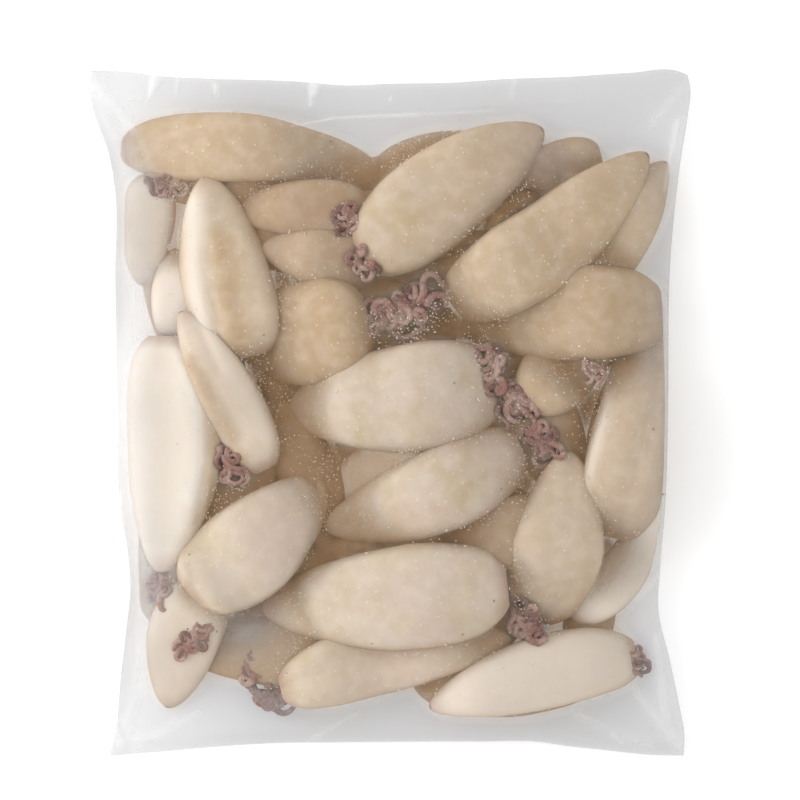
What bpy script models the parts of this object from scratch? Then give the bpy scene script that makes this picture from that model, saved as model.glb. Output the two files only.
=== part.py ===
"""A clear pillow bag, sealed flat at both ends and packed with small cleaned squid, lying down.

The whole bag is one closed solid with the form that its film takes over the squid in it.
The squid are settled first, from the floor up, as a field of heights. The upper film is
then drawn taut over them, the lower film under them, and the two meet at the seals.

Metres, +X across the bag, +Y along it to the far seal, +Z up. The origin is on the
floor, under the middle of the bag. The tables below are in millimetres.
"""

import bmesh
import bpy
import numpy as np

MM = 0.001

# The bag's outline seen from above, as the places that each edge passes through
FAR_EDGE = [(-112.5, 129.0), (-101, 128.7), (-88, 127.0), (-68, 125.9), (-34, 124.7), (-17, 123.3),
            (0, 123.9), (22, 124.3), (45, 125.8), (67, 126.6), (90, 128.1), (109, 128.6), (112, 127.4)]
NEAR_EDGE = [(-105.5, -129.0), (-90, -127.8), (-68, -125.8), (-45, -124.3), (-17, -123.9),
             (33, -123.6), (56, -123.8), (67, -125.4), (78, -126.6), (100, -128.8), (110.5, -129.0)]
LEFT_EDGE = [(-129.0, -105.5), (-118, -103.0), (-100, -101.2), (-78, -98.6), (-66, -97.4), (-52, -98.2),
             (-36, -101.0), (0, -101.8), (50, -103.0), (85, -103.4), (98, -105.8), (112, -111.0),
             (121, -113.0), (129.0, -112.5)]
RIGHT_EDGE = [(-129.0, 110.5), (-121, 110.6), (-108, 108.2), (-93, 105.0), (-73, 100.5), (-60, 101.0),
              (-40, 102.6), (0, 104.0), (60, 105.2), (80, 107.1), (96, 109.2), (112, 111.9),
              (122, 113.0), (127.4, 112.0)]

# The flat seals across the two ends, and how high the folded sides stand
FAR_SEAL_DEPTH = 10.0
NEAR_SEAL_DEPTH = 5.0
SEAL_INNER_HEIGHT = 7.0
SEAL_OUTER_HEIGHT = 2.6
SEAL_CORNER_SHARE = 0.55
SEAL_WAVE = 0.7
SEAL_WAVES = 3.3
SEAL_WAVE_START = 0.8
SIDE_HEIGHT = 12.5
SIDE_LIFT_POWER = 0.6
FILM_PAIR = 1.0

# Each squid: the tip of its tail, the middle of its mouth, its width and its sideways bend.
# They are in the order they were laid down, so each rests on those before it.
UNDER_LAYER = [
    ((-88, 84), (-28, 90), 28, 3), ((62, 92), (-8, 86), 30, -3), ((96, 88), (62, 62), 26, 2),
    ((-92, 64), (-62, -4), 30, 3), ((18, 78), (-56, 66), 32, 3), ((88, 40), (14, 56), 32, -3),
    ((-52, 40), (26, 28), 32, 3), ((94, 26), (86, -46), 28, -3), ((-82, -8), (-84, -80), 30, 3),
    ((-50, 8), (-54, -64), 30, -4), ((62, -4), (-22, -8), 32, 3), ((-16, -38), (62, -46), 32, 3),
    ((-82, -88), (-10, -94), 30, 2), ((-30, -70), (50, -78), 32, -3), ((86, -98), (8, -98), 28, 3),
    ((80, -58), (72, -90), 20, 0), ((-44, -30), (-18, -62), 24, 2), ((48, 28), (66, -28), 28, 0),
]
UPPER_LAYER = [
    ((-81, 62), (-80, 28), 19, 0), ((-93.6, 48), (-89.5, 90), 21, 0), ((-60, 76), (-8, 77), 22, 0),
    ((-48, 62), (-4, 54), 24, 0), ((-58, 25), (-7, 34), 42, 0), ((44, 88), (80, 97), 20, 0),
    ((104, 94.7), (70, 44), 26, 0), ((101, 46), (83, -48), 38, 3), ((92, 50), (51.5, 2), 30, 0),
    ((-85.6, -60), (-83, 30), 38, -4), ((103, -30), (68, -78), 20, 5), ((-84, -111), (-68, -62), 29, 2),
    ((46, -84), (-41.5, -103.2), 28, -3), ((16, -52), (64, -40), 28, 0), ((-32, -34), (36, -4), 26, 0),
    ((26, 32), (104, 38), 37, 2), ((14.5, -110), (94, -91), 29, 3), ((97, 97.5), (22, 40), 34, 4),
    ((57.5, 107), (-10.5, 57), 38, -2), ((-69, 89), (-52, 20), 36, -2), ((-78, 38), (-46, -22), 23, 1),
    ((-5, 93), (-101.5, 99.5), 27, -3), ((67, -14), (53, -79), 35.6, 3), ((-25, -43.5), (50, -12), 33, -3),
    ((-24, -24.5), (-75, -68), 37.5, 2), ((-48.5, -73), (45, -64), 41, -1), ((-39, 1.5), (43, 10.5), 43, -1),
]

# A squid's form: pointed at the tail, blunt at the mouth, lying flattened
TAIL_POWER = 0.60
MOUTH_POWER = 0.36
FLATNESS = 0.56
HEIGHT_POWER = 0.85

# How soft it is: how far it sinks, over what length it bends, and what part of its width bears
END_FULLNESS = 0.55
SINK = 2.6
SOFT_WINDOW = 17
PLACES_ALONG = 41
PLACES_ACROSS = 7
BEARING_SHARE = 0.7
MEAN_SHARE = 0.65
END_PLACES = 6

# The field of heights, wider than the bag all round
FIELD_STEP = 1.0
FIELD_HALF_X = 118.0
FIELD_HALF_Y = 134.0
NOTHING_ABOVE = 99.0

# The film: its cells, how far the rows crowd towards the edges, and how it sinks between squid
COLUMNS = 42
SEAL_ROWS = 2
BODY_ROWS = 44
CROWDING = 0.42
HOLLOW_RADIUS = 16.0
SKIN = 0.3
ROUNDS = 1500

BAG_COLOUR = (0.79, 0.69, 0.56, 1.0)
BAG_ROUGHNESS = 0.35


def smooth_line(knots, at):
    """The smooth curve through (place, value) knots, read at the given places."""
    places, values = np.array(knots, float).T
    slopes = np.gradient(values, places)
    k = np.clip(np.searchsorted(places, at) - 1, 0, len(places) - 2)
    step = places[k + 1] - places[k]
    s = (at - places[k]) / step
    start = (1 + 2 * s) * (1 - s) ** 2 * values[k] + s * (1 - s) ** 2 * step * slopes[k]
    end = s * s * (3 - 2 * s) * values[k + 1] + s * s * (s - 1) * step * slopes[k + 1]
    return start + end


def fullness(t):
    """How full a squid is from its tail, t = 0, to its mouth, t = 1, with 1 at its widest."""
    t = np.clip(t, 0.0, 1.0)
    widest = TAIL_POWER / (TAIL_POWER + MOUTH_POWER)
    peak = widest ** TAIL_POWER * (1 - widest) ** MOUTH_POWER
    return t ** TAIL_POWER * (1 - t) ** MOUTH_POWER / peak


def half_height(width, t, least=0.0):
    return FLATNESS * width / 2 * np.maximum(fullness(t), least) ** HEIGHT_POWER


def directions(tail, mouth):
    """A squid's length, and its directions along and across."""
    chord = np.array(mouth, float) - np.array(tail, float)
    length = np.hypot(*chord)
    along = chord / length
    return length, along, np.array([-along[1], along[0]])


def read_field(field, x, y):
    """The field's height at any place, between its points."""
    i = np.clip((x + FIELD_HALF_X) / FIELD_STEP, 0, field.shape[1] - 1.001)
    j = np.clip((y + FIELD_HALF_Y) / FIELD_STEP, 0, field.shape[0] - 1.001)
    i0, j0 = i.astype(int), j.astype(int)
    a, b = i - i0, j - j0
    low = (1 - a) * field[j0, i0] + a * field[j0, i0 + 1]
    high = (1 - a) * field[j0 + 1, i0] + a * field[j0 + 1, i0 + 1]
    return (1 - b) * low + b * high


def rest_line(squid, heap):
    """The height of a squid's middle all along it, where it lies on what is under it."""
    tail, mouth, width, bend = squid
    length, along, across = directions(tail, mouth)
    t = np.linspace(0, 1, PLACES_ALONG)[:, None]
    half = width / 2 * fullness(t)
    spread = np.linspace(-BEARING_SHARE, BEARING_SHARE, PLACES_ACROSS)
    x = tail[0] + along[0] * length * t + across[0] * (bend * 4 * t * (1 - t) + half * spread)
    y = tail[1] + along[1] * length * t + across[1] * (bend * 4 * t * (1 - t) + half * spread)
    under = read_field(heap, x, y)
    base = MEAN_SHARE * under.mean(axis=1) + (1 - MEAN_SHARE) * under.max(axis=1)
    ends = SOFT_WINDOW // 2 + 2
    before = np.full(ends, base[:END_PLACES].mean())
    after = np.full(ends, base[-END_PLACES:].mean())
    padded = np.concatenate([before, base, after])
    window = np.hanning(SOFT_WINDOW)[1:-1]
    soft = np.convolve(padded, window / window.sum(), "same")[ends:-ends]
    return soft + half_height(width, t[:, 0], END_FULLNESS) - SINK


def settle(squids):
    """The heap's upper heights and the undersides that the lower film meets."""
    xs = np.arange(-FIELD_HALF_X, FIELD_HALF_X + FIELD_STEP, FIELD_STEP)
    ys = np.arange(-FIELD_HALF_Y, FIELD_HALF_Y + FIELD_STEP, FIELD_STEP)
    x, y = np.meshgrid(xs, ys)
    heap = np.zeros_like(x)
    undersides = np.full_like(x, NOTHING_ABOVE)
    for squid in squids:
        tail, mouth, width, bend = squid
        line = rest_line(squid, heap)
        length, along, across = directions(tail, mouth)
        t = ((x - tail[0]) * along[0] + (y - tail[1]) * along[1]) / length
        inside_t = np.clip(t, 0, 1)
        off = (x - tail[0]) * across[0] + (y - tail[1]) * across[1] - bend * 4 * inside_t * (1 - inside_t)
        half = np.maximum(width / 2 * fullness(t), 1e-6)
        inside = (t > 0) & (t < 1) & (np.abs(off) < half)
        high = half_height(width, t) * np.sqrt(np.clip(1 - (off / half) ** 2, 0, None))
        middle = np.interp(inside_t, np.linspace(0, 1, len(line)), line)
        heap = np.where(inside, np.maximum(heap, middle + high), heap)
        undersides = np.where(inside, np.minimum(undersides, middle - high), undersides)
    return heap, undersides


def crowded(steps):
    """Even steps from 0 to 1, crowded towards both ends."""
    s = np.linspace(0, 1, steps + 1)
    return s - CROWDING * np.sin(2 * np.pi * s) / (2 * np.pi)


def film_net():
    """Where the film's points stand seen from above, and each row's place from seal to seal.

    In row places 0 and 1 are the inner lines of the seals, so the seals lie beyond them.
    """
    bag_length = FAR_EDGE[0][1] - NEAR_EDGE[0][1]
    near_seal, far_seal = NEAR_SEAL_DEPTH / bag_length, FAR_SEAL_DEPTH / bag_length
    seal_steps = np.linspace(0, 1, SEAL_ROWS + 1)[1:]
    rows = np.concatenate([-seal_steps[::-1], crowded(BODY_ROWS), 1 + seal_steps])[:, None]
    body = near_seal + (1 - near_seal - far_seal) * np.clip(rows, 0, 1)
    v = body + near_seal * np.minimum(rows, 0) + far_seal * np.maximum(rows - 1, 0)
    u = crowded(COLUMNS)[None, :]

    def edge(knots, share):
        places = knots[0][0] + (knots[-1][0] - knots[0][0]) * share
        return places, smooth_line(knots, places)

    left_y, left_x = edge(LEFT_EDGE, v)
    right_y, right_x = edge(RIGHT_EDGE, v)
    near_x, near_y = edge(NEAR_EDGE, u)
    far_x, far_y = edge(FAR_EDGE, u)

    def patch(left, right, near_side, far_side):
        corners = ((1 - u) * (1 - v) * left[0] + u * (1 - v) * right[0]
                   + (1 - u) * v * left[-1] + u * v * right[-1])
        return (1 - u) * left + u * right + (1 - v) * near_side + v * far_side - corners

    x = patch(left_x, right_x, near_x, far_x)
    y = patch(left_y, right_y, near_y, far_y)
    return x, y, u, rows


def rim_heights(u, rows):
    """The height of the seals and of the folded sides, which hold the film."""
    arch = np.sin(np.pi * u)
    share = SEAL_CORNER_SHARE + (1 - SEAL_CORNER_SHARE) * arch
    wave = SEAL_WAVE * np.sin(2 * np.pi * SEAL_WAVES * u + SEAL_WAVE_START) * arch
    into = 1 - np.clip(np.maximum(-rows, rows - 1), 0, 1)
    seals = (SEAL_OUTER_HEIGHT + (SEAL_INNER_HEIGHT - SEAL_OUTER_HEIGHT) * into) * share + wave * into
    lift = np.sin(np.pi * np.clip(rows, 0, 1)) ** SIDE_LIFT_POWER
    return seals + (SIDE_HEIGHT - SEAL_INNER_HEIGHT * SEAL_CORNER_SHARE) * lift


def stretch(sheet, held, limit):
    """Draws a sheet of film taut between its held rim and whatever it bears on."""
    for _ in range(ROUNDS):
        around = (sheet[:-2, 1:-1] + sheet[2:, 1:-1] + sheet[1:-1, :-2] + sheet[1:-1, 2:]) / 4
        drawn = sheet.copy()
        drawn[1:-1, 1:-1] = around
        sheet = np.where(held, sheet, limit(drawn))
    return sheet


def film_heights(x, y, u, rows):
    """The upper and the lower film over the whole net."""
    heap, undersides = settle(UNDER_LAYER + UPPER_LAYER)
    roof = read_field(heap, x, y) + SKIN
    bed = read_field(undersides, x, y) - SKIN
    rim = rim_heights(u, rows)
    held = np.broadcast_to((rows <= 0) | (rows >= 1), rim.shape).copy()
    held[:, [0, -1]] = True
    bag_width = RIGHT_EDGE[-1][1] - LEFT_EDGE[-1][1]
    dip = (bag_width / COLUMNS) ** 2 / (4 * HOLLOW_RADIUS)
    half = FILM_PAIR / 2
    lower = stretch(rim - half, held, lambda z: np.maximum(np.minimum(z, bed), 0.0))
    bare = roof <= SKIN + 1e-6
    roof = np.where(bare, 0.0, roof)
    upper = stretch(np.maximum(rim + half, np.where(held, 0.0, roof)), held,
                    lambda z: np.maximum(np.maximum(z - dip, roof), lower + FILM_PAIR))
    return upper, lower


def bag_mesh():
    """A flat grid, extruded to a closed slab, whose two faces take the film's heights."""
    x, y, u, rows = film_net()
    upper, lower = film_heights(x, y, u, rows)
    x = x - (x.min() + x.max()) / 2
    y = y - (y.min() + y.max()) / 2
    row_count = len(rows) - 1
    shape = bmesh.new()
    bmesh.ops.create_grid(shape, x_segments=COLUMNS, y_segments=row_count, size=0.5)
    below = list(shape.faces)
    raised = bmesh.ops.extrude_face_region(shape, geom=below)["geom"]
    above = {part for part in raised if isinstance(part, bmesh.types.BMVert)}
    for point in shape.verts:
        i = round((point.co.x + 0.5) * COLUMNS)
        j = round((point.co.y + 0.5) * row_count)
        height = upper[j, i] if point in above else lower[j, i]
        point.co = (x[j, i] * MM, y[j, i] * MM, height * MM)
    bmesh.ops.triangulate(shape, faces=shape.faces)
    bmesh.ops.recalc_face_normals(shape, faces=shape.faces)
    mesh = bpy.data.meshes.new("squid_bag")
    shape.to_mesh(mesh)
    shape.free()
    mesh.shade_smooth()
    return mesh


def bag_material():
    material = bpy.data.materials.new("clear film over cream flesh")
    material.use_nodes = True
    shader = material.node_tree.nodes["Principled BSDF"]
    shader.inputs["Base Color"].default_value = BAG_COLOUR
    shader.inputs["Roughness"].default_value = BAG_ROUGHNESS
    shader.inputs["Metallic"].default_value = 0.0
    return material


def main():
    for leftover in list(bpy.data.objects):
        bpy.data.objects.remove(leftover)
    collection = bpy.data.collections.new("squid bag")
    bpy.context.scene.collection.children.link(collection)
    bag = bpy.data.objects.new("squid_bag", bag_mesh())
    bag.data.materials.append(bag_material())
    collection.objects.link(bag)


main()
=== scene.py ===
import math
import random

import bpy
import numpy as np
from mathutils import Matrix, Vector, noise
from mathutils.bvhtree import BVHTree


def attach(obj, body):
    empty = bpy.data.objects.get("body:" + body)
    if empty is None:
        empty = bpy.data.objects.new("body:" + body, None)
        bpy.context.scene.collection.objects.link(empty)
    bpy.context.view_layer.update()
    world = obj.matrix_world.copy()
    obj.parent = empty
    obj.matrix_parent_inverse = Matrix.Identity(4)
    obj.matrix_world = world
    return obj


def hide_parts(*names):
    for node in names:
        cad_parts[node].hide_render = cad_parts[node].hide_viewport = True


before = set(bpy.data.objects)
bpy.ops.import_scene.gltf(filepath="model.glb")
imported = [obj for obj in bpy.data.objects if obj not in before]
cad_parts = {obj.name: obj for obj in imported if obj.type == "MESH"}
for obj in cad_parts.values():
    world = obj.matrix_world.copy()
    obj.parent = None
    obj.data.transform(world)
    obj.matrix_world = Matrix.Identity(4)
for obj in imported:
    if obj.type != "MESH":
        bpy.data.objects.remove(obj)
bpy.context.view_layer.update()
mm = 0.001  # the tables below are in millimetres
print("frame loaded")

# the bag: its outline from above, its two flat seals and its folded sides
bag = {
    "farEdge": [(-112.5, 129.0), (-101, 128.7), (-88, 127.0), (-68, 125.9), (-34, 124.7), (-17, 123.3),
                (0, 123.9), (22, 124.3), (45, 125.8), (67, 126.6), (90, 128.1), (109, 128.6), (112, 127.4)],
    "nearEdge": [(-105.5, -129.0), (-90, -127.8), (-68, -125.8), (-45, -124.3), (-17, -123.9),
                 (33, -123.6), (56, -123.8), (67, -125.4), (78, -126.6), (100, -128.8), (110.5, -129.0)],
    "leftEdge": [(-129.0, -105.5), (-118, -103.0), (-100, -101.2), (-78, -98.6), (-66, -97.4),
                 (-52, -98.2), (-36, -101.0), (0, -101.8), (50, -103.0), (85, -103.4), (98, -105.8),
                 (112, -111.0), (121, -113.0), (129.0, -112.5)],
    "rightEdge": [(-129.0, 110.5), (-121, 110.6), (-108, 108.2), (-93, 105.0), (-73, 100.5), (-60, 101.0),
                  (-40, 102.6), (0, 104.0), (60, 105.2), (80, 107.1), (96, 109.2), (112, 111.9),
                  (122, 113.0), (127.4, 112.0)],
    "centre": (0.0, 0.22),  # the middle of that outline, which is where the frame has its origin
    "farSealDepth": 10.0, "nearSealDepth": 5.0,
    "sealInnerHeight": 7.0, "sealOuterHeight": 2.6, "sealCornerShare": 0.55,
    "sealWave": 0.7, "sealWaves": 3.3, "sideHeight": 12.5,
    "columns": 42, "sealRows": 2, "bodyRows": 44, "crowding": 0.42,
    "hollowRadius": 16.0, "skin": 0.3, "pair": 1.0,
    "levels": [(1, 1500), (2, 500), (4, 450)],  # the net is drawn taut coarse, then finer
}

# the squid: tip of the tail, middle of the mouth, width and sideways bend, in the order they were laid
underLayer = {
    "under01": ((-88, 84), (-28, 90), 28, 3), "under02": ((62, 92), (-8, 86), 30, -3),
    "under03": ((96, 88), (62, 62), 26, 2), "under04": ((-92, 64), (-62, -4), 30, 3),
    "under05": ((18, 78), (-56, 66), 32, 3), "under06": ((88, 40), (14, 56), 32, -3),
    "under07": ((-52, 40), (26, 28), 32, 3), "under08": ((94, 26), (86, -46), 28, -3),
    "under09": ((-82, -8), (-84, -80), 30, 3), "under10": ((-50, 8), (-54, -64), 30, -4),
    "under11": ((62, -4), (-22, -8), 32, 3), "under12": ((-16, -38), (62, -46), 32, 3),
    "under13": ((-82, -88), (-10, -94), 30, 2), "under14": ((-30, -70), (50, -78), 32, -3),
    "under15": ((86, -98), (8, -98), 28, 3), "under16": ((80, -58), (72, -90), 20, 0),
    "under17": ((-44, -30), (-18, -62), 24, 2), "under18": ((48, 28), (66, -28), 28, 0),
}
upperLayer = {
    "leftDeep": ((-81, 62), (-80, 28), 19, 0), "leftSmall": ((-93.6, 48), (-89.5, 90), 21, 0),
    "farDeep": ((-60, 76), (-8, 77), 22, 0), "middleDeep": ((-48, 62), (-4, 54), 24, 0),
    "hollow": ((-58, 25), (-7, 34), 42, 0), "farTucked": ((44, 88), (80, 97), 20, 0),
    "rightCorner": ((104, 94.7), (70, 44), 26, 0), "rightPressed": ((101, 46), (83, -48), 38, 3),
    "rightDeep": ((92, 50), (51.5, 2), 30, 0), "leftLong": ((-85.6, -60), (-83, 30), 38, -4),
    "rightLow": ((103, -30), (68, -78), 20, 5), "nearCorner": ((-84, -111), (-68, -62), 29, 2),
    "nearAcross": ((46, -84), (-41.5, -103.2), 28, -3), "nearDeep": ((16, -52), (64, -40), 28, 0),
    "slimBehind": ((-32, -34), (36, -4), 26, 0), "rightBroad": ((26, 32), (104, 38), 37, 2),
    "nearRight": ((14.5, -110), (94, -91), 29, 3), "farLong": ((97, 97.5), (22, 40), 34, 4),
    "farPlump": ((57.5, 107), (-10.5, 57), 38, -2), "leftUpright": ((-69, 89), (-52, 20), 36, -2),
    "leftSlant": ((-78, 38), (-46, -22), 23, 1), "farLeft": ((-5, 93), (-101.5, 99.5), 27, -3),
    "rightUpright": ((67, -14), (53, -79), 35.6, 3), "middleSlim": ((-25, -43.5), (50, -12), 33, -3),
    "nearPlump": ((-24, -24.5), (-75, -68), 37.5, 2), "nearMiddle": ((-48.5, -73), (45, -64), 41, -1),
    "middlePlump": ((-39, 1.5), (43, 10.5), 43, -1),
}
# small ones on the very bottom, in the places that the others leave open
floorLayer = {
    "floor01": ((-46, 10), (-22, -40), 24, 0), "floor02": ((-60, -68), (-6, -50), 22, 0),
    "floor03": ((-68, -86), (-32, -74), 17, 0), "floor04": ((36, 72), (64, 94), 17, 0),
    "floor05": ((-8, 46), (28, 56), 17, 0), "floor06": ((-52, -4), (-34, 22), 16, 0),
    "floor07": ((-92, 84), (-70, 100), 20, 0), "floor08": ((-16, -46), (4, -58), 18, 0),
    "floor09": ((-26, 82), (6, 92), 16, 0),
}
squidForm = {
    "tailPower": 0.60, "mouthPower": 0.36, "flatness": 0.56, "crown": 0.85, "endFullness": 0.55,
    "lineSteps": 41, "restWidth": 0.7, "restMean": 0.65,  # where it rests on what is under it
    "sink": 2.6, "softWindow": 17,  # soft flesh sinks into what it lies on and bends over it
    "rings": 56, "sides": 44, "tailCap": 0.035, "ringCrowding": 0.92, "mouthAt": 0.986, "filmGap": 0.35,
    "lipDepths": (0.003, 0.012, 0.03, 0.06, 0.10), "lipTurns": (0.5, 1.1, 1.8, 2.2, 2.6),
    "lipFrom": 0.9, "leastHalf": 0.5, "leastHigh": 0.4, "leastThick": 0.2,
    "lyingGap": 0.1, "lyingShare": 0.15,
    "shoulders": 0.84, "flatTop": 0.07,  # pressed fuller at the shoulders and flatter on top
    "dents": 0.10, "dentLength": 22.0, "dentHeight": 1.6, "ripples": 0.02, "rippleLength": 6.0,
    "puckers": 0.10, "puckerCount": 9,  # the mouth's edge is drawn up in small pleats
    "puckersFrom": 0.86, "puckersOver": 0.12,
    "foldFade": 0.15, "narrowFold": 4.0, "narrowPower": 1.5, "broadPower": 2.2,
    "sideGap": 1.6, "sideSoft": 3.0,
}
squidClosed = {"farLeft": 0.998, "nearAcross": 0.994, "leftSmall": 0.997}  # mouths drawn nearly shut
# creases and flaps: from (t, side) to (t, side), half width and depth in mm; a side of 1 is the squid's edge
squidFolds = {
    "leftLong": [(0.22, -0.56, 0.80, -0.60, 1.5, 1.8), (0.10, 0.15, 0.9, 0.20, 7.0, 1.2)],
    "leftSlant": [(0.05, 0.35, 0.40, 0.10, 2.2, 1.0), (0.30, -0.30, 0.75, -0.20, 2.6, 0.8)],
    "leftUpright": [(0.40, -0.28, 1.0, -0.50, 1.8, 1.9), (0.05, 0.25, 0.9, 0.35, 5.0, 0.8),
                    (0.66, 0.15, 0.86, 0.05, 1.4, 0.7)],
    "nearMiddle": [(0.10, 0.70, 0.24, -0.75, 1.8, 3.0), (0.86, 0.3, 0.97, -0.6, 2.2, 0.9)],
    "nearPlump": [(0.04, -0.7, 0.13, 0.8, 1.6, 2.6), (0.88, -0.5, 0.99, 0.4, 3.0, 1.4)],
    "farLeft": [(0.88, 0.8, 0.96, -0.8, 1.0, 1.2), (0.14, -0.3, 0.34, -0.6, 1.6, 0.9)],
    "farLong": [(0.05, 0.2, 0.45, 0.05, 3.0, 0.5)],
    "rightPressed": [(0.10, 0.2, 0.9, 0.0, 3.0, 1.2)],
    "middlePlump": [(0.80, 0.2, 0.98, 0.1, 3.0, 1.0)],
    "rightUpright": [(0.72, 0.5, 0.97, 0.15, 2.2, 1.2), (0.05, 0.1, 0.9, 0.2, 3.5, 0.7)],
    "nearAcross": [(0.70, -0.2, 0.98, 0.0, 2.5, 1.1)],
}
# how pale each squid is (its own tone and painted light), how tan, and how much browner (painted shade) or
# (below 0) less brown than its depth makes it
squidTonesAndPaintedLight = {
    "farLeft": (0, 0.72, 0), "farPlump": (0, 0.45, 0), "farLong": (0.1, 0.7, -0.35),
    "rightCorner": (0.75, 0.75, 0), "rightBroad": (0.05, 0.75, 0), "rightDeep": (0.1, 0.7, 0),
    "rightPressed": (0.3, 0.6, 0),
    "slimBehind": (0.8, 0.4, -0.3), "nearAcross": (0.2, 0.3, 0), "hollow": (0, 0.85, 0.1),
    "farDeep": (0, 0.7, 0.4), "middleDeep": (0, 0.6, 0.3), "leftDeep": (0.8, 0.1, 0),
    "leftSmall": (0.8, 0.3, 0), "leftUpright": (0.4, 0.6, 0), "leftSlant": (0.9, 0.5, 0),
    "leftLong": (1, 0.12, 0), "rightLow": (1, 0.2, -0.3), "nearCorner": (0.6, 0.3, 0),
    "nearDeep": (0, 0.6, 0.4), "farTucked": (0, 0.7, 0.2), "nearRight": (0.5, 0.1, 0),
    "rightUpright": (0.1, 0.35, 0), "middleSlim": (0, 0.05, 0), "nearPlump": (0.15, 0.05, 0),
    "nearMiddle": (0.1, 0.1, 0), "middlePlump": (0, 0, 0), "others": (0, 0.6, 0.4),
}
# mm that a squid is pressed down by its neighbour
squidTucked = {"rightBroad": 3.2, "hollow": 1.0, "rightLow": 2.4}
# painted highlight and painted shade stripes along a squid: from (t, side) to (t, side), half width in mm,
# added pale (painted light) and added tan (painted shade), below 0 the other way round
squidPaintedStripes = {
    "leftLong": [(0.22, -0.72, 0.76, -0.76, 3.4, -0.7, 0.6), (0.30, -0.35, 0.48, -0.48, 2.0, 0.3, -0.2),
                 (0.48, -0.48, 0.72, -0.49, 2.0, 0.3, -0.2), (0.72, -0.49, 0.92, -0.11, 1.8, 0.3, -0.2)],
    "leftUpright": [(0.12, -0.30, 0.80, -0.78, 5.0, 0.45, -0.45),
                    (0.35, 0.05, 0.95, -0.12, 5.5, -0.15, 0.35)],
    "leftSlant": [(0.25, -0.55, 0.9, -0.6, 3.0, -0.3, 0.3), (0.1, 0.4, 0.8, 0.5, 3.0, 0.2, -0.1)],
    "rightPressed": [(0.1, -0.8, 0.8, -0.85, 2.5, 0.6, -0.3)],
    "nearMiddle": [(0.08, 0.6, 0.20, -0.7, 2.5, -0.2, 0.5)],
    "nearPlump": [(0.02, -0.6, 0.10, 0.7, 2.5, -0.2, 0.6)],
}
# the grid that heights are kept on, and how the holes between squid are told from the room outside them
field = {"step": 1.0, "halfX": 118.0, "halfY": 134.0, "nothingAbove": 99.0, "farAway": 200.0, "bare": 0.01,
         "joining": 3, "joined": 0.2, "closing": 14, "enclosed": 0.68, "leastShare": 0.3,
         "insideReach": 8, "outsideLeft": 0.002}


def linear(hexColour):
    value = [int(hexColour[i:i + 2], 16) / 255 for i in (1, 3, 5)]
    return tuple(c / 12.92 if c <= 0.04045 else ((c + 0.055) / 1.055) ** 2.4 for c in value) + (1.0,)


def smoothLine(knots, at):
    places, values = np.array(knots, float).T
    slopes = np.gradient(values, places)
    k = np.clip(np.searchsorted(places, at) - 1, 0, len(places) - 2)
    step = places[k + 1] - places[k]
    s = (at - places[k]) / step
    start = (1 + 2 * s) * (1 - s) ** 2 * values[k] + s * (1 - s) ** 2 * step * slopes[k]
    end = s * s * (3 - 2 * s) * values[k + 1] + s * s * (s - 1) * step * slopes[k + 1]
    return start + end


def fullness(t):
    t = np.clip(t, 0.0, 1.0)
    tail, mouth = squidForm["tailPower"], squidForm["mouthPower"]
    widest = tail / (tail + mouth)
    return t ** tail * (1 - t) ** mouth / (widest ** tail * (1 - widest) ** mouth)


def halfHeight(width, t, least=0.0):
    return squidForm["flatness"] * width / 2 * np.maximum(fullness(t), least) ** squidForm["crown"]


def directions(tail, mouth):
    chord = np.array(mouth, float) - np.array(tail, float)
    length = np.hypot(*chord)
    along = chord / length
    return length, along, np.array([-along[1], along[0]])


def readField(heights, x, y):
    i = np.clip((x + field["halfX"]) / field["step"], 0, heights.shape[1] - 1.001)
    j = np.clip((y + field["halfY"]) / field["step"], 0, heights.shape[0] - 1.001)
    i0, j0 = i.astype(int), j.astype(int)
    a, b = i - i0, j - j0
    low = (1 - a) * heights[j0, i0] + a * heights[j0, i0 + 1]
    high = (1 - a) * heights[j0 + 1, i0] + a * heights[j0 + 1, i0 + 1]
    return (1 - b) * low + b * high


def blurred(heights, reach):
    # the field smoothed over a few millimetres
    window = np.hanning(2 * reach + 3)[1:-1]
    window /= window.sum()
    for axis in (0, 1):
        heights = np.apply_along_axis(lambda row: np.convolve(row, window, "same"), axis, heights)
    return heights


def restLine(squid, heap):
    # the height of a squid's middle all along it, where it lies on what is under it
    tail, mouth, width, bend = squid
    length, along, across = directions(tail, mouth)
    t = np.linspace(0, 1, squidForm["lineSteps"])[:, None]
    half = width / 2 * fullness(t)
    spread = np.linspace(-squidForm["restWidth"], squidForm["restWidth"], 7)
    x = tail[0] + along[0] * length * t + across[0] * (bend * 4 * t * (1 - t) + half * spread)
    y = tail[1] + along[1] * length * t + across[1] * (bend * 4 * t * (1 - t) + half * spread)
    under = readField(heap, x, y)
    share = squidForm["restMean"]
    base = share * under.mean(axis=1) + (1 - share) * under.max(axis=1)
    ends = squidForm["softWindow"] // 2 + 2
    padded = np.concatenate([np.full(ends, base[:6].mean()), base, np.full(ends, base[-6:].mean())])
    window = np.hanning(squidForm["softWindow"])[1:-1]
    soft = np.convolve(padded, window / window.sum(), "same")[ends:-ends]
    return soft + halfHeight(width, t[:, 0], squidForm["endFullness"]) - squidForm["sink"]


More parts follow.
